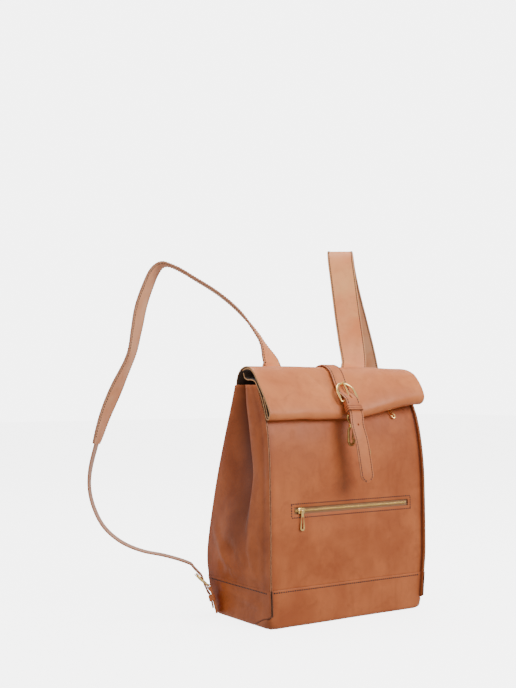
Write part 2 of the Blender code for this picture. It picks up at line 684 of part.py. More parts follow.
SEWN_RIGHT = [(84, 34.6, 336), (84.6, 29.6, 352), (85.6, 29.4, 364.5)]
WIDE_RIGHT = [(86.3, 30.2, 367.8), (86.6, 31.2, 374), (90, 34.5, 384), (98, 39.5, 397), (104, 54, 436), (110, 72, 486),
              (117, 92, 545), (122, 105, 580), (132, 119, 597), (146, 134, 592), (161, 146, 566),
              (182, 157, 524), (207, 166, 472), (231, 172, 412), (247, 177, 361), (258, 182, 313), (266, 185, 268)]
LOWER_RIGHT = [(271, 187, 228), (272, 186, 196), (268, 180, 164), (259, 170, 136), (245, 156, 115),
               (227, 139, 102), (208, 118, 94)]
RIGHT_BAR = (165.5, 77, 45)
RIGHT_ROOT = (160, 65.5, 4)
FRAME_TILT = 32


def twist(count, stops):
    """Width directions along a strap, turned smoothly between (fraction, direction) stops."""
    result = []
    for i in range(count):
        t = i / (count - 1)
        for (t0, a), (t1, b) in zip(stops, stops[1:]):
            if t <= t1:
                mix = ramp(t, t0, t1)
                result.append((Vector(a) * (1 - mix) + Vector(b) * mix).normalized())
                break
    return result


def build_shoulder_strap(side, sewn, wide, lower, bar, root, wide_turns, lower_turns):
    """One strap: an end sewn to the back panel, the wide loop, the narrow strap, its buckle and its tab."""
    sewn_points = smooth([Vector(p) * MM for p in sewn], 3)
    strap("strap_" + side + "_sewn_end", sewn_points, [Vector((1, 0, 0))] * len(sewn_points),
          [STRAP_WIDTH] * len(sewn_points), STRAP_THICKNESS, TAN)
    wide_points = smooth([Vector(p) * MM for p in wide], 3)
    count = len(wide_points)
    strap("shoulder_strap_" + side, wide_points, twist(count, wide_turns), [STRAP_WIDTH] * count,
          STRAP_THICKNESS, TAN)

    tilt = math.radians(FRAME_TILT)
    bar = Vector(bar) * MM
    root = Vector(root) * MM
    across = Vector(lower_turns[-1][1])
    up = (bar - root).normalized()
    out = up.cross(across)
    place = frame_matrix(bar, up, out)
    tab_length = (bar - root).length
    prefix = "strap_" + side
    build_chape(prefix + "_tab", place, LOWER_WIDTH, tab_length, TAN)
    build_buckle(prefix, place, LOWER_WIDTH, tilt=tilt)
    build_keeper(prefix + "_keeper", place, LOWER_WIDTH, -23 * MM, -14 * MM, -3.7 * MM, 3.7 * MM)

    start = wide_points[-1] + (wide_points[-1] - wide_points[-2]).normalized() * MM
    route = [start, *[Vector(p) * MM for p in lower]]
    route += billet_through(place, tilt)
    route.append(place @ Vector((0, -34 * MM, 2.0 * MM)))
    centres = smooth(route, 3)
    widths = [LOWER_WIDTH] * len(centres)
    widths[-1] = LOWER_WIDTH * 0.4
    widths[-2] = LOWER_WIDTH * 0.85
    billet = strap("lower_strap_" + side, centres, twist(len(centres), lower_turns), widths, BILLET, TAN)
    half = PIN / 2 + 0.5 * MM
    leaning = place @ Matrix.Rotation(tilt, 4, "X")
    slot = box("lower_slot_" + side, (-half, 0.5 * MM, -1.5 * MM), (half, 19.5 * MM, 9 * MM), TAN, leaning)
    boolean(billet, slot, "DIFFERENCE")


def build_straps():
    left_end = (0.48, 0.88, 0)
    build_shoulder_strap("left", SEWN_LEFT, WIDE_LEFT, LOWER_LEFT, LEFT_BAR, LEFT_ROOT,
                         [(0.0, (1, 0, 0)), (0.03, (1, 0, 0)), (0.12, (0.93, 0.37, 0)), (0.2, (0.66, 0.75, 0)),
                          (0.3, (0.54, 0.84, 0)), (0.46, (0.56, 0.83, 0)), (0.58, (0.72, 0.69, 0)),
                          (0.72, (0.76, 0.65, 0)), (0.83, (0.685, 0.729, 0)), (0.9, (0.79, 0.61, 0)),
                          (1.0, (0.667, 0.745, 0))],
                         [(0.0, (0.667, 0.745, 0)), (0.12, (0.58, 0.815, 0)), (0.7, left_end), (1.0, left_end)])
    right_end = (0.48, -0.88, 0)
    build_shoulder_strap("right", SEWN_RIGHT, WIDE_RIGHT, LOWER_RIGHT, RIGHT_BAR, RIGHT_ROOT,
                         [(0.0, (1, 0, 0)), (0.1, (1, 0, 0)), (0.3, (0.86, -0.5, 0)), (1.0, (0.62, -0.78, 0))],
                         [(0.0, (0.62, -0.78, 0)), (0.7, right_end), (1.0, right_end)])


def main():
    panel = build_panels()
    build_bands()
    build_gusset("left", -1)
    build_gusset("right", 1)
    build_zips(panel)
    build_roll()
    build_closure()
    build_snap_hook()
    build_ring()
    build_straps()


main()
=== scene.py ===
import math
from bisect import bisect_left

import bmesh
import bpy
from mathutils import Matrix, Vector, noise


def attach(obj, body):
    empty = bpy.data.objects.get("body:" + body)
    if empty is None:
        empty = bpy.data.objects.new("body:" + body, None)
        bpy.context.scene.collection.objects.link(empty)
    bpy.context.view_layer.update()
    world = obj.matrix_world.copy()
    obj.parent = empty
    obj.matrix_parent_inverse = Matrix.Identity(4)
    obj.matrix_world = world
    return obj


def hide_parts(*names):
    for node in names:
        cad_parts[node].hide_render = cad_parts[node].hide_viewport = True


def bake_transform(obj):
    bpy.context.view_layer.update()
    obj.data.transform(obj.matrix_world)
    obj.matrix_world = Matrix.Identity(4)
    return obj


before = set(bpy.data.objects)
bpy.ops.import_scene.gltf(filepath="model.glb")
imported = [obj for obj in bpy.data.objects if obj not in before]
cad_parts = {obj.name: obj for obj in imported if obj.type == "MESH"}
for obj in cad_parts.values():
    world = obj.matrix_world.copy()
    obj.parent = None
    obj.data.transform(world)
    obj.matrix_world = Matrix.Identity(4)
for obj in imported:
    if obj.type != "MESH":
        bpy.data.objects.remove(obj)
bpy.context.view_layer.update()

MM = 0.001
X = Vector((1, 0, 0))
Y = Vector((0, 1, 0))
Z = Vector((0, 0, 1))

# The bag's body, as in the CAD: (z, y) profiles in mm of the front and back panels
HALF_WIDTH = 150
FRONT_PROFILE = [(0, -67), (60, -67), (170, -67), (250, -63.5), (305, -55), (340, -40), (363, -28.5)]
BACK_PROFILE = [(0, 73), (30, 90), (58, 99), (85, 102), (120, 97), (200, 76.5), (280, 51), (330, 33.5),
                (366, 21)]
BAND_TOP = 58
PANEL_TOP = 362
RIDGE = 4.2


# ---------------------------------------------------------------- numbers and curves

def ramp(value, low, high):
    t = min(1.0, max(0.0, (value - low) / (high - low)))
    return t * t * (3 - 2 * t)


def bump(value, centre, reach):
    """1 at centre, easing to 0 at the given reach on both sides."""
    return 1 - ramp(abs(value - centre), 0, reach)


def smooth(points, steps):
    """Points on a curve through the given points, steps to each stretch."""
    points = [Vector(p) for p in points]
    padded = [points[0] * 2 - points[1], *points, points[-1] * 2 - points[-2]]
    result = []
    for a, b, c, d in zip(padded, padded[1:], padded[2:], padded[3:]):
        reach = (c - b).length
        start_slope = (c - a) * (reach / max((c - a).length, 1e-9))
        end_slope = (d - b) * (reach / max((d - b).length, 1e-9))
        for step in range(steps):
            t = step / steps
            near = 2 * t ** 3 - 3 * t ** 2 + 1
            leave = t ** 3 - 2 * t ** 2 + t
            arrive = t ** 3 - t ** 2
            result.append(b * near + c * (1 - near) + start_slope * leave + end_slope * arrive)
    result.append(points[-1])
    return result


def resample(points, count):
    """The same line with its points evenly spaced."""
    lengths = [0.0]
    for a, b in zip(points, points[1:]):
        lengths.append(lengths[-1] + (b - a).length)
    result = []
    for i in range(count + 1):
        want = lengths[-1] * i / count
        k = min(max(bisect_left(lengths, want), 1), len(points) - 1)
        share = (want - lengths[k - 1]) / max(lengths[k] - lengths[k - 1], 1e-12)
        result.append(points[k - 1].lerp(points[k], share))
    return result


class Profile:
    """A smooth curve through (z, value) points, read by z."""

    def __init__(self, points):
        self.curve = smooth(points, 10)
        self.keys = [p[0] for p in self.curve]

    def __call__(self, z):
        k = min(max(bisect_left(self.keys, z), 1), len(self.curve) - 1)
        a = self.curve[k - 1]
        b = self.curve[k]
        return a[1] + (b[1] - a[1]) * (z - a[0]) / (b[0] - a[0])


def frame_matrix(origin, along, out):
    """Local X across, local Y along and local Z out of a strap or panel."""
    y_axis = Vector(along).normalized()
    z_axis = Vector(out)
    z_axis = (z_axis - y_axis * z_axis.dot(y_axis)).normalized()
    rotation = Matrix((y_axis.cross(z_axis), y_axis, z_axis)).transposed().to_4x4()
    return Matrix.Translation(origin) @ rotation


# ---------------------------------------------------------------- materials

def srgb(red, green, blue):
    """A colour as seen on a screen, 0 to 255, for a shader."""
    def linear(value):
        value /= 255
        return value / 12.92 if value <= 0.04045 else ((value + 0.055) / 1.055) ** 2.4
    return (linear(red), linear(green), linear(blue), 1.0)


class Shader:
    """A Principled material and short ways to add nodes to it."""

    def __init__(self, name, roughness=0.5, **sockets):
        self.material = bpy.data.materials.new(name)
        self.material.use_nodes = True
        self.tree = self.material.node_tree
        self.base = self.tree.nodes["Principled BSDF"]
        self.set(self.base, Roughness=roughness, **sockets)
        self.place = self.tree.nodes.new("ShaderNodeTexCoord").outputs["Object"]

    def fill(self, socket, value):
        """Gives a socket a number or colour, or links it to another node's output."""
        if isinstance(value, bpy.types.NodeSocket):
            self.tree.links.new(value, socket)
        else:
            socket.default_value = value

    def set(self, node, **sockets):
        """Fills a node's sockets by name, with _ for a space."""
        for socket, value in sockets.items():
            self.fill(node.inputs[socket.replace("_", " ")], value)
        return node

    def add(self, kind, **sockets):
        return self.set(self.tree.nodes.new("ShaderNode" + kind), **sockets)

    def stretched(self, scale):
        return self.add("Mapping", Vector=self.place, Scale=scale).outputs["Vector"]

    def noise(self, scale, detail=3.0, roughness=0.55, distortion=0.0, where=None):
        return self.add("TexNoise", Vector=where or self.place, Scale=scale, Detail=detail,
                        Roughness=roughness, Distortion=distortion).outputs["Fac"]

    def cells(self, scale):
        return self.add("TexVoronoi", Vector=self.place, Scale=scale).outputs["Distance"]

    def wave(self, scale, direction):
        node = self.add("TexWave", Vector=self.place, Scale=scale)
        node.bands_direction = direction
        return node.outputs["Fac"]

    def span(self, value, low, high, to_low, to_high):
        return self.add("MapRange", Value=value, From_Min=low, From_Max=high, To_Min=to_low,
                        To_Max=to_high).outputs["Result"]

    def attribute(self, name):
        node = self.add("Attribute")
        node.attribute_name = name
        return node.outputs["Fac"]

    def mix(self, share, first, second):
        node = self.add("Mix")
        node.data_type = "RGBA"
        for socket, value in ((0, share), (6, first), (7, second)):
            self.fill(node.inputs[socket], value)
        return node.outputs[2]

    def colour(self, value):
        self.set(self.base, Base_Color=value)

    def roughness(self, value):
        self.set(self.base, Roughness=value)

    def bumps(self, *layers):
        """Bump from (height, depth in metres, strength) layers, one over the other."""
        below = {}
        for height, depth, strength in layers:
            node = self.add("Bump", Height=height, Distance=depth, Strength=strength, **below)
            below = {"Normal": node.outputs["Normal"]}
        self.set(self.base, **below)


# How a leather's colour changes: darker where it is drawn, paler where it is rubbed and where a highlight is
# painted, and darker with painted shade in creases, hollows and grooves
DEEPER = (0.80, 0.80, 0.80)
PALER = (1.28, 1.28, 1.28)
PAINTED_SHADE_TINT = (0.28, 0.22, 0.18)


def tinted(colour, shares):
    """A colour with each of its channels multiplied, and kept within 1."""
    return tuple(min(1.0, share * value) for share, value in zip(shares, colour)) + (1.0,)


def leather(name, light, dark, stretch, roughness=(0.38, 0.52), grain=0.5):
    """Smooth vegetable-tanned leather: clouded colour, faint drawn wrinkles, fine pores and a satin wax."""
    light = srgb(*light)
    dark = srgb(*dark)
    deep = tinted(dark, DEEPER)
    pale = tinted(light, PALER)
    shader = Shader(name, Coat_Weight=0.05, Coat_Roughness=0.3, Specular_IOR_Level=0.3)
    clouds = shader.noise(13.0, 4.0, 0.6, 0.4)
    patches = shader.noise(48.0, 5.0, 0.62, 0.6)
    drawn = shader.noise(58.0, 4.0, 0.6, 0.2, shader.stretched(stretch))
    tone = shader.mix(shader.span(clouds, 0.32, 0.68, 0.0, 1.0), dark, light)
    tone = shader.mix(shader.span(patches, 0.52, 0.75, 0.0, 0.42), tone, deep)
    tone = shader.mix(shader.span(drawn, 0.55, 0.8, 0.0, 0.45), tone, deep)
    tone = shader.mix(shader.span(shader.noise(27.0, 3.0), 0.56, 0.8, 0.0, 0.4), tone, pale)
    # Paler where the worn attribute is set: the gusset's top edge and rubbed strap margins, the strap margins
    # also carrying a painted highlight
    tone = shader.mix(shader.attribute("worn"), tone, pale)
    # Painted shade: darker towards a shade tint in creases, hollows, grooves and beside ridges, as each mesh
    # paints it
    tone = shader.mix(shader.attribute("creased"), tone, tinted(dark, PAINTED_SHADE_TINT))
    shader.colour(tone)
    shader.roughness(shader.span(patches, 0.3, 0.7, roughness[0], roughness[1]))
    shader.bumps((drawn, 0.0011, 0.22), (shader.noise(260.0, 3.0), 0.0004, 0.22 * grain),
                 (shader.cells(1150.0), 0.00022, 0.45 * grain))
    return shader.material


def cut_edge(name, light, dark):
    """The cut or turned edge of a hide: paler, fibrous, waxed."""
    shader = Shader(name, 0.55)
    fibres = shader.noise(420.0, 4.0, 0.7)
    shader.colour(shader.mix(shader.span(fibres, 0.35, 0.7, 0.0, 1.0), srgb(*dark), srgb(*light)))
    shader.bumps((fibres, 0.0003, 0.5))
    return shader.material


def nap(name, light, dark):
    """The flesh side of leather, or a napped lining."""
    shader = Shader(name, 0.9, Sheen_Weight=0.25, Sheen_Roughness=0.5)
    fibres = shader.noise(650.0, 5.0, 0.75)
    shade = shader.noise(40.0, 4.0, 0.6)
    tone = shader.mix(shader.span(fibres, 0.3, 0.7, 0.0, 1.0), srgb(*dark), srgb(*light))
    shader.colour(shader.mix(shader.span(shade, 0.4, 0.75, 0.0, 0.5), tone, srgb(*dark)))
    shader.bumps((fibres, 0.0005, 0.6))
    return shader.material


def metal(name, bright, dull, polish, scuffs, dirt):
    """Brass: bright where it is rubbed, darker and rougher in clouded patches."""
    shader = Shader(name, polish, Metallic=1.0)
    patina = shader.noise(230.0, 4.0, 0.65)
    worn = shader.span(patina, 0.5 - dirt, 0.85 - dirt, 0.0, 1.0)
    shader.colour(shader.mix(worn, srgb(*bright), srgb(*dull)))
    shader.roughness(shader.span(patina, 0.35, 0.75, polish, scuffs))
    shader.bumps((shader.noise(900.0, 2.0), 0.00006, 0.35))
    return shader.material


def woven(name, light, dark, pitch):
    """A plain woven tape or lining."""
    shader = Shader(name, 0.85, Sheen_Weight=0.2)
    across = shader.wave(pitch, "X")
    along = shader.wave(pitch, "Z")
    weave = shader.mix(0.5, across, along)
    shader.colour(shader.mix(weave, srgb(*dark), srgb(*light)))
    shader.bumps((weave, 0.0004, 0.7))
    return shader.material


def thread(name, light, dark):
    shader = Shader(name, 0.6, Sheen_Weight=0.2)
    twist = shader.noise(800.0, 3.0)
    shader.colour(shader.mix(shader.span(twist, 0.35, 0.65, 0.0, 1.0), srgb(*dark), srgb(*light)))
    shader.bumps((twist, 0.0002, 0.6))
    return shader.material


# How much each leather's wrinkles are stretched along x, y and z
UPRIGHT = (1.0, 1.0, 0.14)
SLANTED = (1.0, 0.6, 0.35)
ACROSS = (0.5, 1.0, 0.5)
LENGTHWISE = (0.6, 0.6, 0.3)

HIDE = leather("panel_leather", (206, 116, 66), (176, 90, 46), UPRIGHT)
HIDE_SIDE = leather("gusset_leather", (200, 108, 58), (164, 80, 38), SLANTED)
HIDE_ROLL = leather("roll_leather", (234, 142, 84), (208, 114, 62), ACROSS)
HIDE_STRAP = leather("strap_leather_finish", (224, 134, 82), (194, 104, 58), LENGTHWISE, (0.4, 0.55), 0.8)
HIDE_PALE = leather("shoulder_leather", (255, 172, 112), (240, 142, 84), LENGTHWISE, (0.4, 0.55), 0.8)
STRAP_LINING = leather("strap_lining_leather", (255, 190, 144), (240, 160, 112), LENGTHWISE, (0.5, 0.65), 0.7)
EDGE = cut_edge("cut_edge", (206, 136, 92), (150, 86, 52))
EDGE_ROLL = cut_edge("rolled_edge", (244, 190, 134), (206, 146, 94))
SEAM_EDGE = cut_edge("turned_seam_edge", (150, 86, 50), (100, 54, 30))
EDGE_STRAP = cut_edge("strap_edge", (222, 158, 122), (160, 96, 66))
FLESH = nap("strap_flesh_side", (226, 178, 150), (190, 134, 104))
SUEDE = nap("dark_suede", (104, 74, 54), (58, 40, 29))
BOARD = nap("pressed_board", (96, 74, 54), (66, 50, 36))
TAPE = woven("tape_weave", (206, 152, 108), (150, 100, 64), 420.0)
LINING = woven("lining_weave", (150, 112, 76), (104, 74, 48), 300.0)
BRASS = metal("bright_brass", (244, 206, 132), (202, 150, 76), 0.16, 0.3, 0.0)
ANTIQUE = metal("dark_brass", (206, 172, 104), (92, 66, 36), 0.22, 0.5, 0.12)
THREAD = thread("brown_thread", (46, 22, 12), (20, 9, 5))


# ---------------------------------------------------------------- mesh helpers

def new_object(name, verts, faces, materials, indices=None):
    mesh = bpy.data.meshes.new(name)
    mesh.from_pydata([tuple(v) for v in verts], [], faces)
    for mat in materials:
        mesh.materials.append(mat)
    if indices is not None:
        mesh.polygons.foreach_set("material_index", indices)
    mesh.polygons.foreach_set("use_smooth", [True] * len(mesh.polygons))
    mesh.update()
    obj = bpy.data.objects.new(name, mesh)
    bpy.context.scene.collection.objects.link(obj)
    return obj


def settle(obj):
    """Applies an object's modifiers, so that its mesh is final."""
    bpy.context.view_layer.update()
    final = bpy.data.meshes.new_from_object(obj.evaluated_get(bpy.context.evaluated_depsgraph_get()))
    old = obj.data
    obj.modifiers.clear()
    obj.data = final
    bpy.data.meshes.remove(old)
    final.name = obj.name
    return obj


def paint(obj, name, values):
    layer = obj.data.attributes.new(name, "FLOAT", "POINT")
    layer.data.foreach_set("value", values)


def rounded(obj, width, segments, angle, harden=False):
    """Rounds the edges that are sharper than an angle, and applies all of the object's modifiers."""
    rounding = obj.modifiers.new("rounded_edges", "BEVEL")
    rounding.width = width * MM
    rounding.segments = segments
    rounding.limit_method = "ANGLE"
    rounding.angle_limit = math.radians(angle)
    rounding.harden_normals = harden
    return settle(obj)


def thicken(obj, thickness, offset=-1.0, soften=0.45):
    """Gives a face its thickness, its back and its softened cut edges."""
    thick = obj.modifiers.new("thickness", "SOLIDIFY")
    thick.thickness = thickness * MM
    thick.offset = offset
    thick.material_offset = 1
    thick.material_offset_rim = 2
    return rounded(obj, soften, 2, 50)


def grid_faces(rows, across, flip):
    """Four-cornered faces between rows of points."""
    faces = []
    for j in range(rows - 1):
        for i in range(across - 1):
            a = j * across + i
            face = (a, a + 1, a + across + 1, a + across)
            faces.append(face[::-1] if flip else face)
    return faces


def sheet(name, grid, thickness, materials, offset=-1.0, flip=False, **painted):
    """A hide through rows of points: face, back and cut edges each have their material."""
    verts = [point for row in grid for point in row]
    obj = new_object(name, verts, grid_faces(len(grid), len(grid[0]), flip), materials)
    for attribute, values in painted.items():
        paint(obj, attribute, values)
    return thicken(obj, thickness, offset, soften=0.5)


def ring_faces(rings, count, closed=False):
    """Faces of a skin over rings of points, with capped ends unless the rings close on themselves."""
    faces = []
    for j in range(rings if closed else rings - 1):
        for k in range(count):
            a = j * count + k
            b = j * count + (k + 1) % count
            up = ((j + 1) % rings - j) * count
            faces.append((a, b, b + up, a + up))
    if not closed:
        faces.append(tuple(range(count))[::-1])
        faces.append(tuple(range((rings - 1) * count, rings * count)))
    return faces


def around(sides, start=0.0):
    """The cosine and sine of evenly spaced angles round a circle."""
    angles = [2 * math.pi * (k + start) / sides for k in range(sides)]
    return [(math.cos(angle), math.sin(angle)) for angle in angles]


def transported(points, first_out, cyclic):
    """(along, out) directions at each point of a path, carried along it without twisting."""
    count = len(points)
    outs = []
    out = Vector(first_out)
    for i in range(count):
        if cyclic:
            tangent = points[(i + 1) % count] - points[i - 1]
        else:
            tangent = points[min(i + 1, count - 1)] - points[max(i - 1, 0)]
        tangent.normalize()
        out = (out - tangent * out.dot(tangent)).normalized()
        outs.append((tangent, out.copy()))
    return outs


def tube(name, points, radii, mat, out, cyclic=False, sides=14, flat=1.0):
    """A rod along points, with a radius at each; flat squeezes it along out."""
    points = [Vector(p) for p in points]
    if not isinstance(radii, list):
        radii = [radii] * len(points)
    verts = []
    for point, radius, (tangent, rise) in zip(points, radii, transported(points, out, cyclic)):
        wide = tangent.cross(rise)
        verts += [point + (wide * cos + rise * (sin * flat)) * radius for cos, sin in around(sides)]
    return new_object(name, verts, ring_faces(len(points), sides, cyclic), [mat])


def stamp(name, template, places, mat):
    """Many small copies of one shape in one mesh."""
    shape_verts, shape_faces = template
    verts = []
    faces = []
    for place in places:
        first = len(verts)
        verts += [place @ v for v in shape_verts]
        faces += [tuple(first + i for i in face) for face in shape_faces]
    return new_object(name, verts, faces, [mat])


def capsule_template():
    """One stitch, lying along X: a short rod with rounded ends, 1 long and 1 in radius."""
    verts = []
    for along, size in ((-0.5, 0.35), (-0.38, 0.85), (0.0, 1.0), (0.38, 0.85), (0.5, 0.35)):
        verts += [Vector((along, size * cos, size * sin)) for cos, sin in around(6)]
    return verts, ring_faces(5, 6)


CAPSULE = capsule_template()

# A stitch's share of its pitch, its height over its width, and how far its middle lies above the leather, mm
STITCH_FILL = 0.62
STITCH_FLAT = 0.5
STITCH_LIFT = 0.15


def stitches(path, outs, pitch=4.2, thick=1.05):
    """Where each stitch goes, for a seam that follows a path on a surface; outs point out of the surface."""
    places = []
    carried = 0.0
    want = pitch * MM / 2
    for i in range(len(path) - 1):
        step = path[i + 1] - path[i]
        length = step.length
        while want <= carried + length:
            share = (want - carried) / length
            along = step.normalized()
            out = outs[i].lerp(outs[i + 1], share)
            out = (out - along * out.dot(along)).normalized()
            middle = path[i] + step * share + out * (STITCH_LIFT * MM)
            axes = Matrix((along * pitch * STITCH_FILL, out.cross(along) * thick, out * thick * STITCH_FLAT))
            places.append(Matrix.Translation(middle) @ (axes * MM).transposed().to_4x4())
            want += pitch * MM
        carried += length
    return places


def show(obj, body, slot, *nodes):
    """A finished piece: its body, a material slot name that is not used, and the CAD nodes that it stands
    for.
    """
    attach(obj, body)
    if nodes:
        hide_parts(*nodes)
    return obj


def plain_mesh(node):
    """A CAD node's shape as welded verts and flat faces, for a refined copy."""
    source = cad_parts[node]
    bm = bmesh.new()
    bm.from_mesh(source.data)
    bm.transform(source.matrix_world)
    bmesh.ops.remove_doubles(bm, verts=bm.verts, dist=0.000005)
    bmesh.ops.dissolve_limit(bm, angle_limit=math.radians(1.0), verts=bm.verts, edges=bm.edges)
    bm.verts.index_update()
    verts = [v.co.copy() for v in bm.verts]
    faces = [tuple(v.index for v in f.verts) for f in bm.faces]
    bm.free()
    return verts, faces


def refine(node, body, mat, slot, width):
    """A CAD node with its edges rounded over, in a finished material."""
    verts, faces = plain_mesh(node)
    obj = new_object(node + "_finished", verts, faces, [mat])
    rounded(obj, width, 3, 30, harden=True)
    obj.data.set_sharp_from_angle(angle=math.radians(40))
    return show(obj, body, slot, node)


# ---------------------------------------------------------------- the bag's body

front_y = Profile(FRONT_PROFILE)
back_y = Profile(BACK_PROFILE)

# The walls' round into the base, and the height where a free ridge stops following it, mm
FOOT_RADIUS = 6
RIDGE_FOOT = 1.2

# The front band's rounded corners: how high they reach, and the height over which they set in, mm
CORNER_TOP = 21
CORNER_EASE = 7

# Where a front or back sheet's edge columns start: distance from the side, mm
SHEET_MARGIN = 15

# Heights of the rows of points in the foot bands, close together where they turn in to the base
FOOT_ROWS = [0, 0.4, 1.2, 2.4, 4, 6]
FRONT_BAND_ROWS = FOOT_ROWS + [9, 12, 15, 18, CORNER_TOP, 24, 30, 36, 42, 48, 53, BAND_TOP]
BACK_BAND_ROWS = FOOT_ROWS + [12, 18, 24, 30, 36, 42, 48, 53, BAND_TOP]
SIDE_BAND_ROWS = FOOT_ROWS + [9, 12, 15, 18, CORNER_TOP, 24, 28, 32, 36, 40, 44, 48, 53, BAND_TOP]

# Windows of the two zips in the front panel: x from, x to, z from, z to, mm
ZIP_WINDOWS = [(-104, 122, 167, 177), (-122, 104, 325.6, 334.4)]

# Edge of a front or back sheet: distance in from the side, and step into the bag, up to the ridge's proud tip
RIDGE_STEPS = [(15, 0.0), (9, 0.5), (5.2, 1.1), (4.1, 0.7), (3.8, -1.4), (3.8, -RIDGE)]
# Painted shade on each of those edge columns: the ridge's shadow on the panel beside it
RIDGE_SHADE = [0.0, 0.12, 0.65, 0.85, 0.3, 0.0]


def side_x(sign, z):
    """Half the bag's width at a height: it swells above the base, more on the right."""
    swell = 2.0 if sign < 0 else 6.5
    return HALF_WIDTH + swell * ramp(z, 15, 100) * (1 - 0.75 * ramp(z, 200, 340))


def clouded(x, y, z, scale, seed):
    """Smooth noise about 0 on a place in mm, with waves about 1/scale long."""
    return noise.noise(Vector((x * scale + seed, y * scale - seed, z * scale + 2.3 * seed)))


def foot_inset(z):
    """How far the walls turn in to meet the base."""
    if z >= FOOT_RADIUS:
        return 0.0
    return FOOT_RADIUS - math.sqrt(FOOT_RADIUS ** 2 - (FOOT_RADIUS - z) ** 2)


def spread(low, high, step, *fixed):
    """Numbers from low to high about a step apart, with the fixed ones among them."""
    stops = sorted({low, high, *fixed})
    result = []
    for a, b in zip(stops, stops[1:]):
        count = max(1, round((b - a) / step))
        result += [a + (b - a) * i / count for i in range(count)]
    return result + [high]


def front_face(x, z):
    """The front panel's y: it bellies out in two bands, lies flat round the zip and waves a little."""
    y = front_y(z)
    y -= 1.6 * (1 - (x / 150) ** 2) * ramp(z, 190, 230) * (1 - ramp(z, 270, 320))
    y -= 1.8 * (1 - (x / 150) ** 2) * ramp(z, 62, 100) * (1 - ramp(z, 130, 160))
    quiet = 1 - 0.85 * bump(z, 172, 26)
    y += quiet * (1.1 * clouded(x, 0, z * 0.5, 0.011, 3.1) + 0.5 * clouded(x, 0, z * 0.25, 0.045, 8.4))
    return y


def corner_wrap(z):
    """The front band's lower corner at a height: its radius, and how far the band runs on past it."""
    return 3 + 8 * ramp(CORNER_TOP - z, 0, CORNER_TOP), 1.45 * (CORNER_TOP - z)


def edge_columns(sign, z, face_y, out_sign, wrapped):
    """The last points of a front or back sheet, to its ridge; a wrapped sheet rounds its lower corners."""
    edge = side_x(sign, z) - foot_inset(z if wrapped else max(z, RIDGE_FOOT))
    ridge = [(inward, -out_sign * step) for inward, step in RIDGE_STEPS]
    if wrapped and z < CORNER_TOP:
        share = ramp(CORNER_TOP - z, 0, CORNER_EASE)
        radius, reach = corner_wrap(z)
        slant = radius * (1 - math.sqrt(0.5))
        wrap = [(15, 0.0), (radius, 0.0), (slant, slant), (0, radius), (0, radius + reach / 2),
                (0, radius + reach)]
        ridge = [Vector(a).lerp(Vector(b), share) for a, b in zip(ridge, wrap)]
    return [Vector((sign * (edge - inward), face_y + back, z)) for inward, back in ridge]


def faced_sheet(name, face, xs, zs, out_sign, thickness, materials, wrapped=False, holes=()):
    """A front or back hide with a ridge seam down both sides and rectangular holes."""
    grid = []
    shade_amounts = []
    side_face = HALF_WIDTH - SHEET_MARGIN
    for z in zs:
        inset = foot_inset(z) * -out_sign
        left = edge_columns(-1, z, face(-side_face, z) + inset, out_sign, wrapped)[::-1]
        right = edge_columns(1, z, face(side_face, z) + inset, out_sign, wrapped)
        grid.append(left + [Vector((x, face(x, z) + inset, z)) for x in xs] + right)
        # Painted shadow of the ridge, fainter where the band's corner rounds in
        side = [value * (1 - 0.6 * ramp(CORNER_TOP - z, 0, 6)) for value in RIDGE_SHADE]
        shade_amounts += side[::-1] + [0.0] * len(xs) + side
    verts = [point for row in grid for point in row]
    faces = []
    for face_corners in grid_faces(len(grid), len(grid[0]), out_sign > 0):
        middle = sum((verts[c] for c in face_corners), Vector()) / 4
        if not any(x0 < middle.x < x1 and z0 < middle.z < z1 for x0, x1, z0, z1 in holes):
            faces.append(face_corners)
    obj = new_object(name, [point * MM for point in verts], faces, materials)
    paint(obj, "creased", shade_amounts)
    return thicken(obj, thickness)


# Material slots of the front panel: its cut edges, and those round the zips' windows
CUT_EDGE = 2
WINDOW_EDGE = 3


def build_front():
    xs = spread(-130, 130, 7, -122, -104, 104, 122)
    zs = spread(54, PANEL_TOP, 6.5, 167, 177, 325.6, 334.4)
    materials = [HIDE, SUEDE, EDGE, SEAM_EDGE]
    panel = faced_sheet("front_panel_hide", front_face, xs, zs, -1, 1.6, materials, holes=ZIP_WINDOWS)
    for polygon in panel.data.polygons:
        place = polygon.center / MM
        if abs(place.x) < 130 and 160 < place.z < 340 and polygon.material_index == CUT_EDGE:
            polygon.material_index = WINDOW_EDGE
    show(panel, "bag", "tan_leather", "front_panel")
    materials = [HIDE, SUEDE, SEAM_EDGE]
    band = faced_sheet("front_band_hide", band_face, xs, FRONT_BAND_ROWS, -1, 1.5, materials, wrapped=True)
    show(band, "bag", "tan_leather", "front_band")


def band_face(x, z):
    fall = 0.8 * clouded(x, 0, z, 0.02, 5.0) * ramp(z, 0, 20) * (1 - ramp(z, 40, 56))
    return front_face(x, max(z, 60)) - 1.2 + fall


def back_face(x, z):
    y = back_y(z)
    y += 3 * (1 - (x / 150) ** 2) * ramp(z, 60, 130) * (1 - ramp(z, 220, 320))
    return y + 1.2 * clouded(x, 0, z * 0.6, 0.013, 21.0) * (1 - ramp(z, 320, 345)) + 0.3


def back_band_face(x, z):
    return back_y(z) + 1.6 + 0.7 * clouded(x, 0, z, 0.02, 15.0) * ramp(z, 0, 20) * (1 - ramp(z, 40, 56))


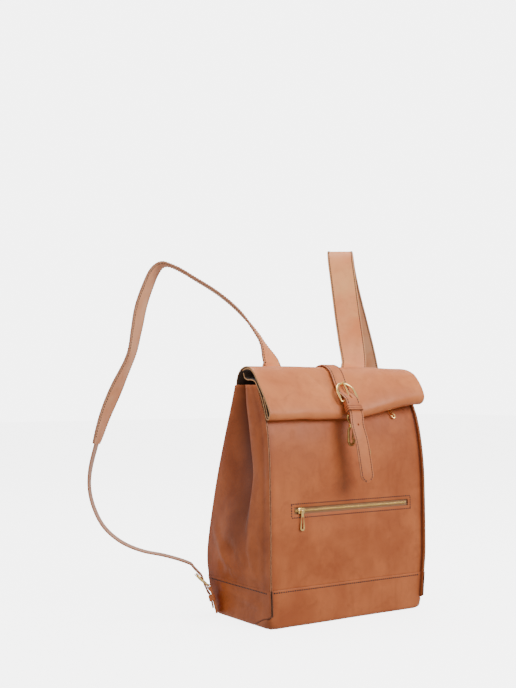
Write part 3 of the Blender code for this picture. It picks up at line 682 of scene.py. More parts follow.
def build_back():
    xs = spread(-130, 130, 9)
    panel = faced_sheet("back_panel_hide", back_face, xs, spread(54, 360, 8), 1, 1.6, [HIDE, SUEDE, EDGE])
    show(panel, "bag", "tan_leather", "back_panel")
    band = faced_sheet("back_band_hide", back_band_face, xs, BACK_BAND_ROWS, 1, 1.5, [HIDE, SUEDE, EDGE])
    show(band, "bag", "tan_leather", "back_band")


# Slack folds low on the side walls: (y, z) along each fold in mm, its height and half width
SIDE_FOLDS = [([(80, 134), (58, 104), (40, 84), (16, 71)], 3.4, 15),
              ([(26, 69), (-6, 72), (-36, 77)], 2.4, 12),
              ([(-26, 128), (-22, 104), (-30, 86)], 1.6, 12)]

# Dents in the side walls: y, z, half width, half height and depth, mm
SIDE_DENTS = [(34, 104, 24, 22, 5.5), (-12, 98, 12, 18, 3.0), (-44, 108, 9, 30, 1.5), (60, 78, 16, 12, 2.5)]


def line_distance(y, z, points):
    best = 1e9
    for (ay, az), (by, bz) in zip(points, points[1:]):
        dy = by - ay
        dz = bz - az
        t = min(1.0, max(0.0, ((y - ay) * dy + (z - az) * dz) / (dy * dy + dz * dz)))
        best = min(best, math.hypot(y - ay - t * dy, z - az - t * dz))
    return best


def slack(y, z, seed):
    """How far the side wall stands out where it is slack, mm."""
    total = 1.6 * clouded(0, y, z, 0.018, seed) * ramp(z, 58, 80)
    for points, height, reach in SIDE_FOLDS:
        total += height * bump(line_distance(y, z, points), 0, reach)
    for y0, z0, wide, tall, depth in SIDE_DENTS:
        total -= depth * bump(math.hypot((y - y0) / wide, (z - z0) / tall), 0, 1)
    return total * ramp(z, 58, 72)


def gusset_row(sign, z, count):
    """Points across a side wall at a height, from front ridge to back ridge, and how much painted shade each
    gets.
    """
    front = front_face(sign * (HALF_WIDTH - SHEET_MARGIN), z)
    back = back_face(sign * (HALF_WIDTH - SHEET_MARGIN), z)
    span = back - front
    deep = 47 * ramp(z, 120, 345)
    tucked = ramp(z, 150, 300)
    valley = 0.31 + 0.22 * ramp(z, 220, 350)
    rest = 1 - valley
    section = [(0.0, 0.0), (0.07, 0.6), (valley * 0.5, 2.4 * tucked), (valley * 0.86, 1.2 * tucked),
               (valley, -2.5 * tucked - 0.06 * deep), (valley + 0.03 - 0.05 * tucked, -0.5 * deep),
               (valley + 0.05, -deep), (valley + 0.09, -0.94 * deep), (valley + 0.34 * rest, -0.56 * deep),
               (valley + 0.66 * rest, -0.17 * deep), (valley + 0.86 * rest, -0.02 * deep), (1.0, 0.0)]
    line = resample(smooth([(front + t * span, x) for t, x in section], 6), count)
    edge = side_x(sign, z)
    points = [Vector((sign * edge, front - RIDGE, z)), Vector((sign * edge, front - 1.5, z))]
    shade_amounts = [0.0, 0.0]
    for i, (y, sunk) in enumerate(line):
        t = i / count
        full = 5 * math.sin(math.pi * t) * ramp(z, 70, 110) * (1 - ramp(z, 130, 230))
        ease = math.sin(math.pi * t) ** 0.5
        hollow = 1.3 * bump(t, 0.07, 0.06) * ramp(z, 60, 90)
        out = full + ease * slack(y, z, 4.0 if sign < 0 else 9.0) - hollow
        points.append(Vector((sign * (edge + sunk + out), y, z)))
        behind = (y - front - valley * span) / (rest * span)
        # Painted shade: darkest deep in the valley, fading back from it over the back column, and in a broad
        # hollow low down
        shade = 0.8 * (1 - ramp(behind, 0, 0.95)) * ramp(behind, -0.03, 0.02) * ramp(z, 92, 170)
        hollow_shade = 0.45 * bump(math.hypot((y - 22) / 40, (z - 128) / 52), 0, 1)
        shade_amounts.append(min(0.9, max(0.85 * ramp(-sunk, 0.5, 20), shade, hollow_shade) + 0.25 * bump(t, 0.06, 0.05)))
    points += [Vector((sign * edge, back + 1.0, z)), Vector((sign * edge, back + 0.7 * RIDGE, z))]
    return points, shade_amounts + [0.0, 0.0]


def build_gusset(side, sign):
    grid = []
    shade_amounts = []
    for z in spread(54, PANEL_TOP - 1, 5.5):
        points, crease = gusset_row(sign, z, 46)
        grid.append([p * MM for p in points])
        shade_amounts += crease
    worn = [0.9 * ramp(point.z / MM, 357.5, 360) for row in grid for point in row]
    obj = sheet("gusset_hide_" + side, grid, 1.6, [HIDE_SIDE, SUEDE, EDGE], flip=sign < 0, worn=worn,
                creased=shade_amounts)
    show(obj, "bag", "tan_leather", "gusset_" + side)


# A crest of slack leather along a side band, (y, z) in mm, and the steps of points along the band
SIDE_BAND_CREST = [(60, 46), (20, 40), (-40, 31)]
SIDE_BAND_STEPS = 40


def side_band_row(sign, z):
    """Points along a side band at a height, from behind the front corner to the back ridge."""
    inset = foot_inset(z)
    edge = side_x(sign, z) - inset
    front = band_face(sign * (HALF_WIDTH - SHEET_MARGIN), z) + inset
    back = back_band_face(sign * (HALF_WIDTH - SHEET_MARGIN), z) - inset
    rounded = ramp(CORNER_TOP - z, 0, CORNER_EASE)
    start = front - RIDGE * (1 - rounded) + sum(corner_wrap(min(z, CORNER_TOP))) * rounded + 0.4
    points = []
    for i in range(SIDE_BAND_STEPS + 1):
        y = start + (back + 0.6 * RIDGE - start) * i / SIDE_BAND_STEPS
        crest = line_distance(y, z, SIDE_BAND_CREST)
        fold = 1.8 * bump(crest, 0, 9) - 1.6 * bump(math.hypot((y - 44) / 30, (z - 26) / 12), 0, 1)
        ease = min(1.0, i / 4, (SIDE_BAND_STEPS - i) / 3) * ramp(z, 2, 14) * (1 - ramp(z, 46, 56))
        points.append(Vector((sign * (edge + 0.6 + ease * fold), y, z)) * MM)
    return points


def build_side_band(side, sign):
    grid = [side_band_row(sign, z) for z in SIDE_BAND_ROWS]
    shade_amounts = []
    for z in SIDE_BAND_ROWS:
        # Painted shade on the first columns, low down by the front corner
        lead = 0.8 * (1 - ramp(z, 16, 26))
        shade_amounts += [lead, 0.5 * lead] + [0.0] * (SIDE_BAND_STEPS - 1)
    obj = sheet("side_band_hide_" + side, grid, 1.5, [HIDE_SIDE, SUEDE, SEAM_EDGE], flip=sign < 0,
                creased=shade_amounts)
    show(obj, "bag", "tan_leather", "side_band_" + side)


def build_base():
    margin = 5.6
    xs = spread(-HALF_WIDTH + margin, HALF_WIDTH - margin, 12)
    ys = spread(front_y(0) - 1.2 + margin, back_y(0) + 1.6 - margin, 12)
    grid = [[Vector((x, y, 0.3)) * MM for x in xs] for y in ys]
    obj = sheet("base_hide", grid, 1.6, [HIDE_SIDE, SUEDE, EDGE], flip=True)
    show(obj, "bag", "tan_leather", "base_panel")
    refine("base_board", "bag", BOARD, "fibre_board", 0.6)


def build_body_seams():
    """Stitching along the top of the foot band and round the zip."""
    places = []
    z = BAND_TOP - 4
    for face, out in ((band_face, -Y), (back_band_face, Y)):
        line = [Vector((x, face(x, z) + 0.15 * out.y, z)) * MM for x in spread(-143, 143, 4)]
        places += stitches(line, [out] * len(line))
    for sign in (-1, 1):
        row = side_band_row(sign, BAND_TOP - 4.5)[2:-1]
        places += stitches(row, [X * sign] * len(row))
    x0, x1, z0, z1 = ZIP_WINDOWS[0]
    margin = 5.2
    corners = [(x0 - margin, z0 - margin), (x1 + margin, z0 - margin), (x1 + margin, z1 + margin),
               (x0 - margin, z1 + margin), (x0 - margin, z0 - margin)]
    for (xa, za), (xb, zb) in zip(corners, corners[1:]):
        steps = max(2, int(math.hypot(xb - xa, zb - za) / 5))
        line = []
        for i in range(steps + 1):
            x = xa + (xb - xa) * i / steps
            z = za + (zb - za) * i / steps
            line.append(Vector((x, front_face(x, z), z)) * MM)
        places += stitches(line, [-Y] * len(line), pitch=3.9, thick=1.0)
    show(stamp("body_stitching", CAPSULE, places, THREAD), "bag", "tan_leather")


# ---------------------------------------------------------------- rolled top

# The outer layer's section as (y, z) over the left half and at the right end, mm
ROLL_LEFT = [(21.5, 368), (17.5, 377), (9, 385), (-2, 388.5), (-13, 387.5), (-23, 382), (-33, 371),
             (-43, 357.5), (-55.5, 341), (-66.5, 323), (-68.3, 314.5), (-64.3, 309), (-58.6, 311.2),
             (-54.5, 322), (-46.6, 341), (-35.5, 357.8), (-28.5, 366), (-18, 368.6), (-8, 368.9),
             (-0.5, 372), (2.5, 379)]
ROLL_RIGHT = [(21.5, 368), (17.5, 377), (8, 384.5), (-6, 387), (-20, 387), (-36, 385), (-53, 378),
              (-65.5, 365), (-74, 351), (-76.5, 341), (-73, 333.5), (-65, 330), (-56.5, 331),
              (-49.5, 337), (-43, 345.5), (-36, 357), (-29, 366), (-19.5, 369), (-9.5, 370),
              (-2.5, 374), (1, 380)]
ROLL_ROOT = [(22.7, 360.6), (22.1, 364.5)]

# Points to each stop of the sections, how deep the inner layer lies, and its first and last point
ROLL_STEPS = 4
ROLL_LAYER = 2.8
ROLL_INNER = (8, 57)

# Folds that the closure strap pulls into the roll: (x, section stop) ends, depth and half width in mm
ROLL_FOLDS = [((-16, 8.2), (-52, 5.2), 1.5, 7), ((-20, 9.2), (-70, 6.4), 1.1, 6),
              ((22, 8.4), (60, 6.2), 1.0, 8), ((-12, 5.6), (-34, 4.2), 0.9, 6)]
STOP_LENGTH = 13

# Where the roll's lower edge leaves room for the upper zip's pull: x and half width, mm
PULL_ROOM = (-88, 34)


def roll_section(x):
    along = ramp(x, 0, HALF_WIDTH)
    points = [Vector(left).lerp(Vector(right), along) for left, right in zip(ROLL_LEFT, ROLL_RIGHT)]
    return smooth(points, ROLL_STEPS)


def roll_swell(x, stop):
    """How far the roll's face stands out at x and at a stop along its section, mm."""
    face = ramp(stop, 2.5, 5) * (1 - ramp(stop, 9, 11))
    total = 2.6 * face * bump(x, 78, 62) + 1.6 * face * bump(x, -72, 60)
    total += 1.2 * face * max(-0.25, clouded(x, stop * STOP_LENGTH, 0, 0.02, 6.0))
    for (xa, sa), (xb, sb), depth, reach in ROLL_FOLDS:
        away = line_distance(x, stop * STOP_LENGTH, [(xa, sa * STOP_LENGTH), (xb, sb * STOP_LENGTH)])
        total -= depth * bump(away, 0, reach)
    return total - 2.4 * bump(x, *PULL_ROOM) * ramp(stop, 10.2, 11.8) * (1 - ramp(stop, 13, 14.5))


def roll_points(x, first, last, inward=0.0):
    section = roll_section(x)
    points = []
    for i in range(first, last):
        tangent = section[min(i + 1, len(section) - 1)] - section[max(i - 1, 0)]
        tangent.normalize()
        out = roll_swell(x, i / ROLL_STEPS) - inward
        moved = section[i] + Vector((tangent.y, -tangent.x)) * out
        points.append(Vector((x, moved.x, moved.y)) * MM)
    return points


def build_roll():
    count = (len(ROLL_LEFT) - 1) * ROLL_STEPS + 1
    grid = []
    shade_amounts = []
    for x in spread(-HALF_WIDTH, HALF_WIDTH, 5):
        root = [Vector((x, y, z)) * MM for y, z in ROLL_ROOT]
        grid.append(root + roll_points(x, 0, count))
        # Painted shade: beside the closure strap on the roll's face, and under the roll's lower lip
        near = bump(x, -10, 26)
        shade_amounts += [0.0] * len(root)
        for i in range(count):
            stop = i / ROLL_STEPS
            shade_amounts.append(0.42 * near * bump(stop, 8, 5) + 0.5 * ramp(stop, 10.4, 13))
    outer = sheet("roll_outer_hide", grid, 2.0, [HIDE_ROLL, SUEDE, EDGE_ROLL], offset=0.0, creased=shade_amounts)
    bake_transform(outer)
    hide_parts("roll_back_sheet")

    grid = [roll_points(x, ROLL_INNER[0], ROLL_INNER[1], ROLL_LAYER) for x in spread(-148.5, 148.5, 6)]
    inner = sheet("roll_inner_hide", grid, 1.8, [SUEDE, SUEDE, EDGE_ROLL], offset=0.0)
    show(inner, "roll", "suede_flesh_side", "roll_front_sheet")


# ---------------------------------------------------------------- straps, tabs and loops

# Where the points lie across a strap, mm in from its edge, and how far each is sunk by the stitching
ACROSS_STEPS = [(0.5, 0.0), (1.5, -0.02), (2.5, 0.28), (3.5, 0.0), (6.5, -0.15)]

# A strap's seams: how far in from its edge they lie and how thick their stitches are, mm
SEAM_MARGIN = 2.5
STRAP_STITCH = 1.15


def strap_section(half_width, thickness, crown):
    """(across, out, side) points round a strap: side 0 faces out, 1 is an edge, 2 faces in."""
    half = thickness / 2
    scale = half_width / 12.5 if half_width < 10 else 1.0
    top = []
    for inward, sunk in ACROSS_STEPS:
        across = half_width - inward * scale
        rise = half - sunk * min(1.0, scale) - 0.12 * (inward == 0.5)
        top.append((across, rise + crown * ramp(half_width - across, 2.5, 9)))
    outside = top + [(0.0, half + crown + 0.15)] + [(-a, b) for a, b in top[::-1]]
    edge = [(half_width + 0.02, -half * 0.45), (half_width + 0.12, 0.0), (half_width + 0.02, half * 0.45)]
    points = [(a, b, 0) for a, b in outside]
    points += [(-a, -b, 1) for a, b in edge]
    points += [(-a, -b + 2 * crown * (abs(a) < half_width - 4), 2) for a, b in outside]
    return points + [(a, b, 1) for a, b in edge]


def ribbon_frames(centres, across):
    """(centre, width direction, out direction) at each point of a strap's middle line."""
    frames = []
    for i, centre in enumerate(centres):
        tangent = (centres[min(i + 1, len(centres) - 1)] - centres[max(i - 1, 0)]).normalized()
        wide = (across[i] - tangent * across[i].dot(tangent)).normalized()
        frames.append((centre, wide, tangent.cross(wide)))
    return frames


def ribbon(name, centres, across, widths, thickness, materials, crown=0.2):
    """A flat leather strap with rounded, painted edges; materials are for its out side, edges and in side."""
    verts = []
    worn = []
    creased = []
    for (centre, wide, out), width in zip(ribbon_frames(centres, across), widths):
        section = strap_section(width / 2, thickness, crown)
        for a, b, side in section:
            verts.append(centre + (wide * a + out * b) * MM)
            # Paler strap margins outside the stitching: rubbed wear and a painted highlight
            worn.append(0.6 * ramp(abs(a), width / 2 - 2.4, width / 2 - 0.6))
            # Painted shade along the stitching grooves on both faces
            creased.append(0.4 * bump(width / 2 - abs(a), 2.5, 0.9) * (side != 1))
    sides = [side for _, _, side in section]
    indices = []
    for side, following in zip(sides, sides[1:] + sides[:1]):
        indices.append(1 if 1 in (side, following) else max(side, following))
    faces = ring_faces(len(centres), len(sides))
    obj = new_object(name, verts, faces, materials, indices * (len(centres) - 1) + [1, 1])
    paint(obj, "worn", worn)
    paint(obj, "creased", creased)
    bm = bmesh.new()
    bm.from_mesh(obj.data)
    bmesh.ops.recalc_face_normals(bm, faces=bm.faces)
    bm.to_mesh(obj.data)
    bm.free()
    obj.data.set_sharp_from_angle(angle=math.radians(62))
    return obj


def edge_stitches(centres, across, widths, thickness, side, first, last, pitch=4.4):
    """Stitch places down both edges of a strap, on its out side (side 1) or its in side (side -1)."""
    frames = list(zip(ribbon_frames(centres, across), widths))[first:last]
    places = []
    for edge in (-1, 1):
        path = []
        for (centre, wide, out), width in frames:
            offset = wide * edge * (width / 2 - SEAM_MARGIN) + out * side * (thickness / 2 - 0.2)
            path.append(centre + offset * MM)
        places += stitches(path, [out * side for (_, _, out), _ in frames], pitch, STRAP_STITCH)
    return places


def prism(outline, low, high, place):
    """Verts and faces of an upright solid on an (x, y) outline in mm."""
    verts = [place @ (Vector((x, y, z)) * MM) for z in (low, high) for x, y in outline]
    return verts, ring_faces(2, len(outline))


def discard(obj):
    mesh = obj.data
    bpy.data.objects.remove(obj)
    bpy.data.meshes.remove(mesh)


def cut(obj, shape):
    """Cuts a closed shape out of a strap; the cut is lined with the strap's edge material."""
    verts, faces = shape
    tool = new_object("cutter", verts, faces, [EDGE_STRAP] * 3, [1] * len(faces))
    cutting = obj.modifiers.new("cut", "BOOLEAN")
    cutting.operation = "DIFFERENCE"
    cutting.solver = "EXACT"
    cutting.object = tool
    settle(obj)
    discard(tool)
    obj.data.set_sharp_from_angle(angle=math.radians(50))


def slot_outline(low, high):
    """A round-ended slot for a prong, along local Y from low to high."""
    points = []
    for middle, start in ((high - SLOT_HALF, 0), (low + SLOT_HALF, 180)):
        for step in range(9):
            angle = math.radians(start + 22.5 * step)
            points.append((SLOT_HALF * math.cos(angle), middle + SLOT_HALF * math.sin(angle)))
    return points


def build_keeper(name, body, place, width, y_low, y_high, z_low, z_high, ridges):
    """A loop of leather round a strap, with raised ridges round it."""
    half = width / 2 + 0.8
    corner = 1.6
    outside = corner + 1.3
    ring = []
    for x_sign, z_sign, start in ((1, 1, 0), (-1, 1, 90), (-1, -1, 180), (1, -1, 270)):
        z_edge = z_high if z_sign > 0 else z_low
        for step in range(5):
            angle = math.radians(start + 22.5 * step)
            middle = (x_sign * (half - corner), z_edge - z_sign * corner)
            ring.append((middle, (math.cos(angle), math.sin(angle))))
    steps = 24
    rows = []
    for step in range(steps + 1):
        t = step / steps
        ridge = 0.6 * math.sin(math.pi * ridges * t) ** 2
        edge = 0.5 * (1 - ramp(t, 0, 0.07)) + 0.5 * ramp(t, 0.93, 1)
        rows.append((y_low + (y_high - y_low) * t, outside - edge + ridge))
    rows += [(y_high, corner), (y_low, corner)]
    verts = []
    shade_amounts = []
    for y, radius in rows:
        # Painted shade in the grooves between the ridges
        groove = max(0.0, 0.9 - 2.6 * (radius - outside)) if ridges and radius > outside - 0.4 else 0.0
        shade_amounts += [groove] * len(ring)
        for (x, z), (dx, dz) in ring:
            verts.append(place @ (Vector((x + dx * radius, y, z + dz * radius)) * MM))
    faces = [face[::-1] for face in ring_faces(len(rows), len(ring), closed=True)]
    indices = [0 if j < steps else 1 for j in range(len(rows)) for _ in ring]
    obj = new_object(name + "_loop", verts, faces, [HIDE_STRAP, EDGE_STRAP], indices)
    paint(obj, "creased", shade_amounts)
    obj.data.set_sharp_from_angle(angle=math.radians(60))
    show(obj, body, "tan_leather", name)


# ---------------------------------------------------------------- buckles

# A frame's wire, a strap buckle's length, half a prong's slot, and the strap's thickness there, mm
WIRE = 2.8
FRAME_LENGTH = 27
SLOT_HALF = 1.7
BILLET = 2.4


def arch_points(half, length, steps=36):
    """A straight bar at y = 0 and a half-round arch above it, mm, as one closed loop."""
    shoulder = (length - half) / 2
    points = [(-half, 0.0), (-half * 0.5, 0.0), (0.0, 0.0), (half * 0.5, 0.0), (half, 0.0), (half, shoulder)]
    for step in range(steps + 1):
        angle = math.pi * step / steps
        points.append((half * math.cos(angle), length - half + half * math.sin(angle)))
    return points + [(-half, shoulder)]


def build_frame(prefix, body, place, width, length=FRAME_LENGTH, room=2.2, heavy=0.5):
    """A buckle's frame round a strap: room beside the strap, and an arch that is heavier than the bar, mm."""
    outline = arch_points(width / 2 + room + WIRE / 2, length)
    path = [place @ (Vector((x, y, 0)) * MM) for x, y in outline]
    radii = [(WIRE / 2 + heavy * ramp(y, 2, 7)) * MM for _, y in outline]
    out = place.to_3x3() @ Z
    wire = tube(prefix + "_frame_bar", path, radii, BRASS, out, cyclic=True, sides=18, flat=0.78)
    show(wire, body, "polished_brass", prefix + "_buckle_frame")


def billet_through(place, tilt):
    """Middle line of a strap that comes under the arch, over the bar and down the tab."""
    leaning = place @ Matrix.Rotation(tilt, 4, "X")
    far = [(46, -5.0), (36, -4.5), (27.5, -4.2), (19.5, -3.5), (8.5, 2.2), (1, 5.1)]
    near = [(-7, 4.0), (-12.5, 2.0), (-18, 1.7), (-24, 1.7)]
    points = [leaning @ (Vector((0, y, z)) * MM) for y, z in far]
    return points + [place @ (Vector((0, y, z)) * MM) for y, z in near]


# ---------------------------------------------------------------- closure strap, snap hook and ring

CLOSURE_BAR = Vector((0.002, -0.0691, 0.3356))
CLOSURE_PLACE = frame_matrix(CLOSURE_BAR, (0.0, 0.571, 0.821), (0.0, -0.821, 0.571))
CLOSURE_WIDTH = 25

# The closure strap's middle line before and after its buckle, mm; its last hole is at the tail's first point
CLOSURE_OVER_ROLL = [(6.5, 25, 371), (6.5, 20.5, 380), (6.5, 10.5, 388.6), (6, -2, 392), (6, -14.5, 391),
                     (5.5, -26, 385), (4.5, -34, 377)]
CLOSURE_TAIL = [(-2, -91.5, 300), (1, -98, 275), (4, -102, 245), (6, -104, 224)]
HOLE_RADIUS = 1.8


def build_closure():
    route = [Vector(p) * MM for p in CLOSURE_OVER_ROLL] + billet_through(CLOSURE_PLACE, 0.0)[1:]
    route += [Vector(p) * MM for p in CLOSURE_TAIL]
    centres = smooth(route, 8)
    tip = centres[-1]
    direction = (centres[-1] - centres[-2]).normalized()
    widths = [CLOSURE_WIDTH] * len(centres)
    for reach in (2.5, 5, 7, 8.6, 10, 11, 11.7, 12):
        centres.append(tip + direction * (reach * MM))
        widths.append(CLOSURE_WIDTH * max(0.1, 1 - (reach / 12) ** 2.6 * 0.9))
    across = [X] * len(centres)
    billet = ribbon("closure_strap_hide", centres, across, widths, BILLET, [HIDE_STRAP, EDGE_STRAP, FLESH])
    cut(billet, prism(slot_outline(1.5, 19.5), -1.5, 9, CLOSURE_PLACE))
    hole_place = frame_matrix(Vector(CLOSURE_TAIL[0]) * MM, (0, 0, 1), (0, -1, 0.2))
    cut(billet, prism([(HOLE_RADIUS * cos, HOLE_RADIUS * sin) for cos, sin in around(20)], -6, 6, hole_place))
    show(billet, "roll", "tan_leather", "closure_strap")
    seam = edge_stitches(centres, across, widths, BILLET, 1, 2, -3, pitch=3.9)
    show(stamp("closure_strap_stitching", CAPSULE, seam, THREAD), "roll", "tan_leather")
    refine("closure_chape", "roll", HIDE_STRAP, "tan_leather", 0.5)
    build_keeper("closure_keeper", "roll", CLOSURE_PLACE, CLOSURE_WIDTH, -19.5, -8.5, -3.8, 4.9, 3)
    build_frame("closure", "closure_buckle", CLOSURE_PLACE, CLOSURE_WIDTH, 33.5, 3, 0.9)
    refine("closure_buckle_prong", "closure_prong", BRASS, "polished_brass", 0.55)


# The snap hook: the eye that it hangs from, and how far below it in mm its post starts
HOOK_EYE = Vector((-0.0055, -0.080626, 0.313773))
HOOK_DROP = -11

# Turned parts of the hook, as (radius, height from the drop) in mm
POST_PROFILE = [(0.1, -4.6), (1.5, -4.6), (1.7, -4.3), (1.7, -0.2), (2.6, 0), (2.6, 0.9), (1.8, 1.4),
                (0.1, 1.5)]
KNOB_PROFILE = [(2.25, -5.1), (2.25, -1.7), (3.6, -1.7), (4.3, -2.5), (4.3, -3.4), (3.7, -3.8), (4.3, -4.2),
                (4.3, -6.6), (3.6, -7.6), (2.2, -8.1), (0.1, -8.2)]


def lathe(name, profile, mat):
    """A turned shape below the hook's eye, from (radius, height from the drop) points in mm."""
    verts = []
    for radius, z in profile:
        for cos, sin in around(28):
            verts.append(HOOK_EYE + Vector((radius * cos, radius * sin, HOOK_DROP + z)) * MM)
    obj = new_object(name, verts, ring_faces(len(profile), 28), [mat])
    obj.data.set_sharp_from_angle(angle=math.radians(50))
    return obj


def joined(name, *pieces):
    """Several meshes as one object."""
    verts = []
    faces = []
    for piece in pieces:
        first = len(verts)
        verts += [v.co.copy() for v in piece.data.vertices]
        faces += [tuple(first + i for i in polygon.vertices) for polygon in piece.data.polygons]
    mat = pieces[0].data.materials[0]
    for piece in pieces:
        discard(piece)
    obj = new_object(name, verts, faces, [mat])
    obj.data.set_sharp_from_angle(angle=math.radians(50))
    return obj


def hung(points):
    """Points in mm below the hook's eye."""
    return [HOOK_EYE + Vector(p) * MM for p in points]


def build_snap_hook():
    half = 7
    drop = HOOK_DROP
    outline = [(half * 0.4, drop), (half, drop * 0.55), (half, 0), (-half, 0), (-half, drop * 0.55),
               (-half * 0.4, drop), (0, drop)]
    corners = [Vector((x, 0, z)) for x, z in outline]
    softened = []
    for before, corner, after in zip(corners[-1:] + corners, corners, corners[1:] + corners[:1]):
        start = corner + (before - corner).normalized() * 1.3
        end = corner + (after - corner).normalized() * 1.3
        softened += [start, (start + corner * 2 + end) / 4, end]
    loop = tube("swivel_loop", hung(softened), 1.6 * MM, ANTIQUE, -Y, cyclic=True)
    post = lathe("swivel_post", POST_PROFILE, ANTIQUE)
    show(joined("snap_hook_swivel_cast", loop, post), "hook_swivel", "antique_brass", "snap_hook_swivel")
    show(lathe("hook_knob", KNOB_PROFILE, BRASS), "hook", "antique_brass")

    reach = 5.2
    top = drop - 8
    path = [(-reach * 0.4, 0, top + 1), (-reach, 0, top - 4), (-reach, 0, top - 12), (-reach, 0, top - 20)]
    for step in range(1, 14):
        angle = math.pi + math.pi * step / 13
        path.append((reach * math.cos(angle), 0, top - 20 + 6.2 * math.sin(angle)))
    path.append((reach, 0, top - 17))
    curve = smooth(path, 3)
    radii = [(2.1 + 0.3 * bump(i / len(curve), 0.62, 0.3)) * MM for i in range(len(curve))]
    radii[-1] = 0.8 * MM
    show(tube("hook_bar", hung(curve), radii, ANTIQUE, -Y), "hook", "antique_brass", "snap_hook_body")

    curve = smooth([(reach * 0.45, 0, top - 2.2), (reach * 0.7, 0, top - 6), (reach * 0.5, 0, top - 15),
                    (reach * 0.35, 0, top - 18)], 5)
    radii = [1.25 * MM] * (len(curve) - 1) + [0.8 * MM]
    gate = tube("hook_gate_bar", hung(curve), radii, ANTIQUE, -Y)
    show(gate, "hook_gate", "antique_brass", "snap_hook_gate")


RING_BAR = Vector((0.034, -0.066317, 0.25845))


def build_ring():
    """The ring that the hook clips to, hanging flat against the front panel from its tab."""
    refine("ring_tab", "bag", HIDE_STRAP, "tan_leather", 0.5)
    up = Vector((0, front_y(282) - front_y(258), 24)).normalized()
    out = Vector((0, -up.z, up.y))
    place = frame_matrix(RING_BAR, -up, out)
    path = [place @ (Vector((x, y, 0)) * MM) for x, y in arch_points(9.8, 15, 24)]
    ring = tube("closure_ring_bar", path, 1.3 * MM, ANTIQUE, out, cyclic=True)
    show(ring, "ring", "antique_brass", "closure_ring")


# ---------------------------------------------------------------- shoulder straps

STRAP_WIDTH = 45
STRAP_THICKNESS = 3.6
LOWER_WIDTH = 22

# How far a strap buckle leans out from its tab, degrees, and the lower strap's run into the wide one, mm
FRAME_TILT = 32
LOWER_OVERLAP = 8

# Middle lines of the straps, mm: the part sewn to the bag, the wide part and the narrow part up to its buckle
SEWN_LEFT = [(-74, 34.6, 336), (-74, 29.6, 352), (-74, 29.4, 364.5)]
WIDE_LEFT = [(-74, 30.2, 367.6), (-73.3, 33.2, 380), (-71, 39, 394), (-76, 52, 422), (-89, 66, 452),
             (-110, 80, 482), (-138, 96, 509), (-170, 114, 532), (-197, 127, 549), (-215, 135, 554),
             (-229, 140, 544), (-240, 143, 521), (-251, 147, 486), (-258, 149, 448), (-265, 152, 410),
             (-283, 163, 361), (-300, 173, 313), (-312, 180, 268)]
LOWER_LEFT = [(-319, 186, 228), (-320, 186.5, 196), (-313, 182, 164), (-300, 173, 136), (-279, 157.5, 114),
              (-252, 139, 100), (-220, 117, 92)]
SEWN_RIGHT = [(84, 34.6, 336), (84.6, 29.6, 352), (85.6, 29.4, 364.5)]
WIDE_RIGHT = [(86.3, 30.2, 367.8), (86.6, 31.2, 374), (90, 34.5, 384), (98, 39.5, 397), (104, 54, 436),
              (110, 72, 486), (117, 92, 545), (122, 105, 580), (132, 119, 597), (146, 134, 592),
              (161, 146, 566), (182, 157, 524), (207, 166, 472), (231, 172, 412), (247, 177, 361),
              (258, 182, 313), (266, 185, 268)]
LOWER_RIGHT = [(271, 187, 228), (272, 186, 196), (268, 180, 164), (259, 170, 136), (245, 156, 115),
               (227, 139, 102), (208, 118, 94)]

# Which way the straps' widths point: (share of the way along, direction)
WIDE_TURNS = {"left": [(0.0, (1, 0, 0)), (0.03, (1, 0, 0)), (0.12, (0.93, 0.37, 0)), (0.2, (0.66, 0.75, 0)),
                       (0.3, (0.54, 0.84, 0)), (0.46, (0.56, 0.83, 0)), (0.58, (0.72, 0.69, 0)),
                       (0.72, (0.76, 0.65, 0)), (0.83, (0.685, 0.729, 0)), (0.9, (0.79, 0.61, 0)),
                       (1.0, (0.667, 0.745, 0))],
              "right": [(0.0, (1, 0, 0)), (0.1, (1, 0, 0)), (0.3, (0.86, -0.5, 0)), (1.0, (0.62, -0.78, 0))]}
LOWER_TURNS = {"left": [(0.0, (0.667, 0.745, 0)), (0.12, (0.58, 0.815, 0)), (0.7, (0.48, 0.88, 0)),
                        (1.0, (0.48, 0.88, 0))],
               "right": [(0.0, (0.62, -0.78, 0)), (0.7, (0.48, -0.88, 0)), (1.0, (0.48, -0.88, 0))]}


# Points to each stretch of a strap in the CAD, and how many times finer they are here
CAD_STEPS = 3
FINER = 3


def twist(count, stops):
    """Width directions along a strap, turned smoothly between (fraction, direction) stops."""
    result = []
    for i in range(count):
        t = i / (count - 1)
        for (t0, a), (t1, b) in zip(stops, stops[1:]):
            if t <= t1:
                share = ramp(t, t0, t1)
                result.append((Vector(a) * (1 - share) + Vector(b) * share).normalized())
                break
    return result


def lengthwise(points, turns):
    """Middle line and width directions of a strap, finer than the CAD's but turned in the same places."""
    coarse = smooth([Vector(p) * MM for p in points], CAD_STEPS)
    directions = twist(len(coarse), turns)
    fine = smooth([Vector(p) * MM for p in points], CAD_STEPS * FINER)
    across = []
    for i in range(len(fine)):
        k, rest = divmod(i, FINER)
        following = directions[min(k + 1, len(directions) - 1)]
        across.append(directions[k].lerp(following, rest / FINER).normalized())
    return fine, across


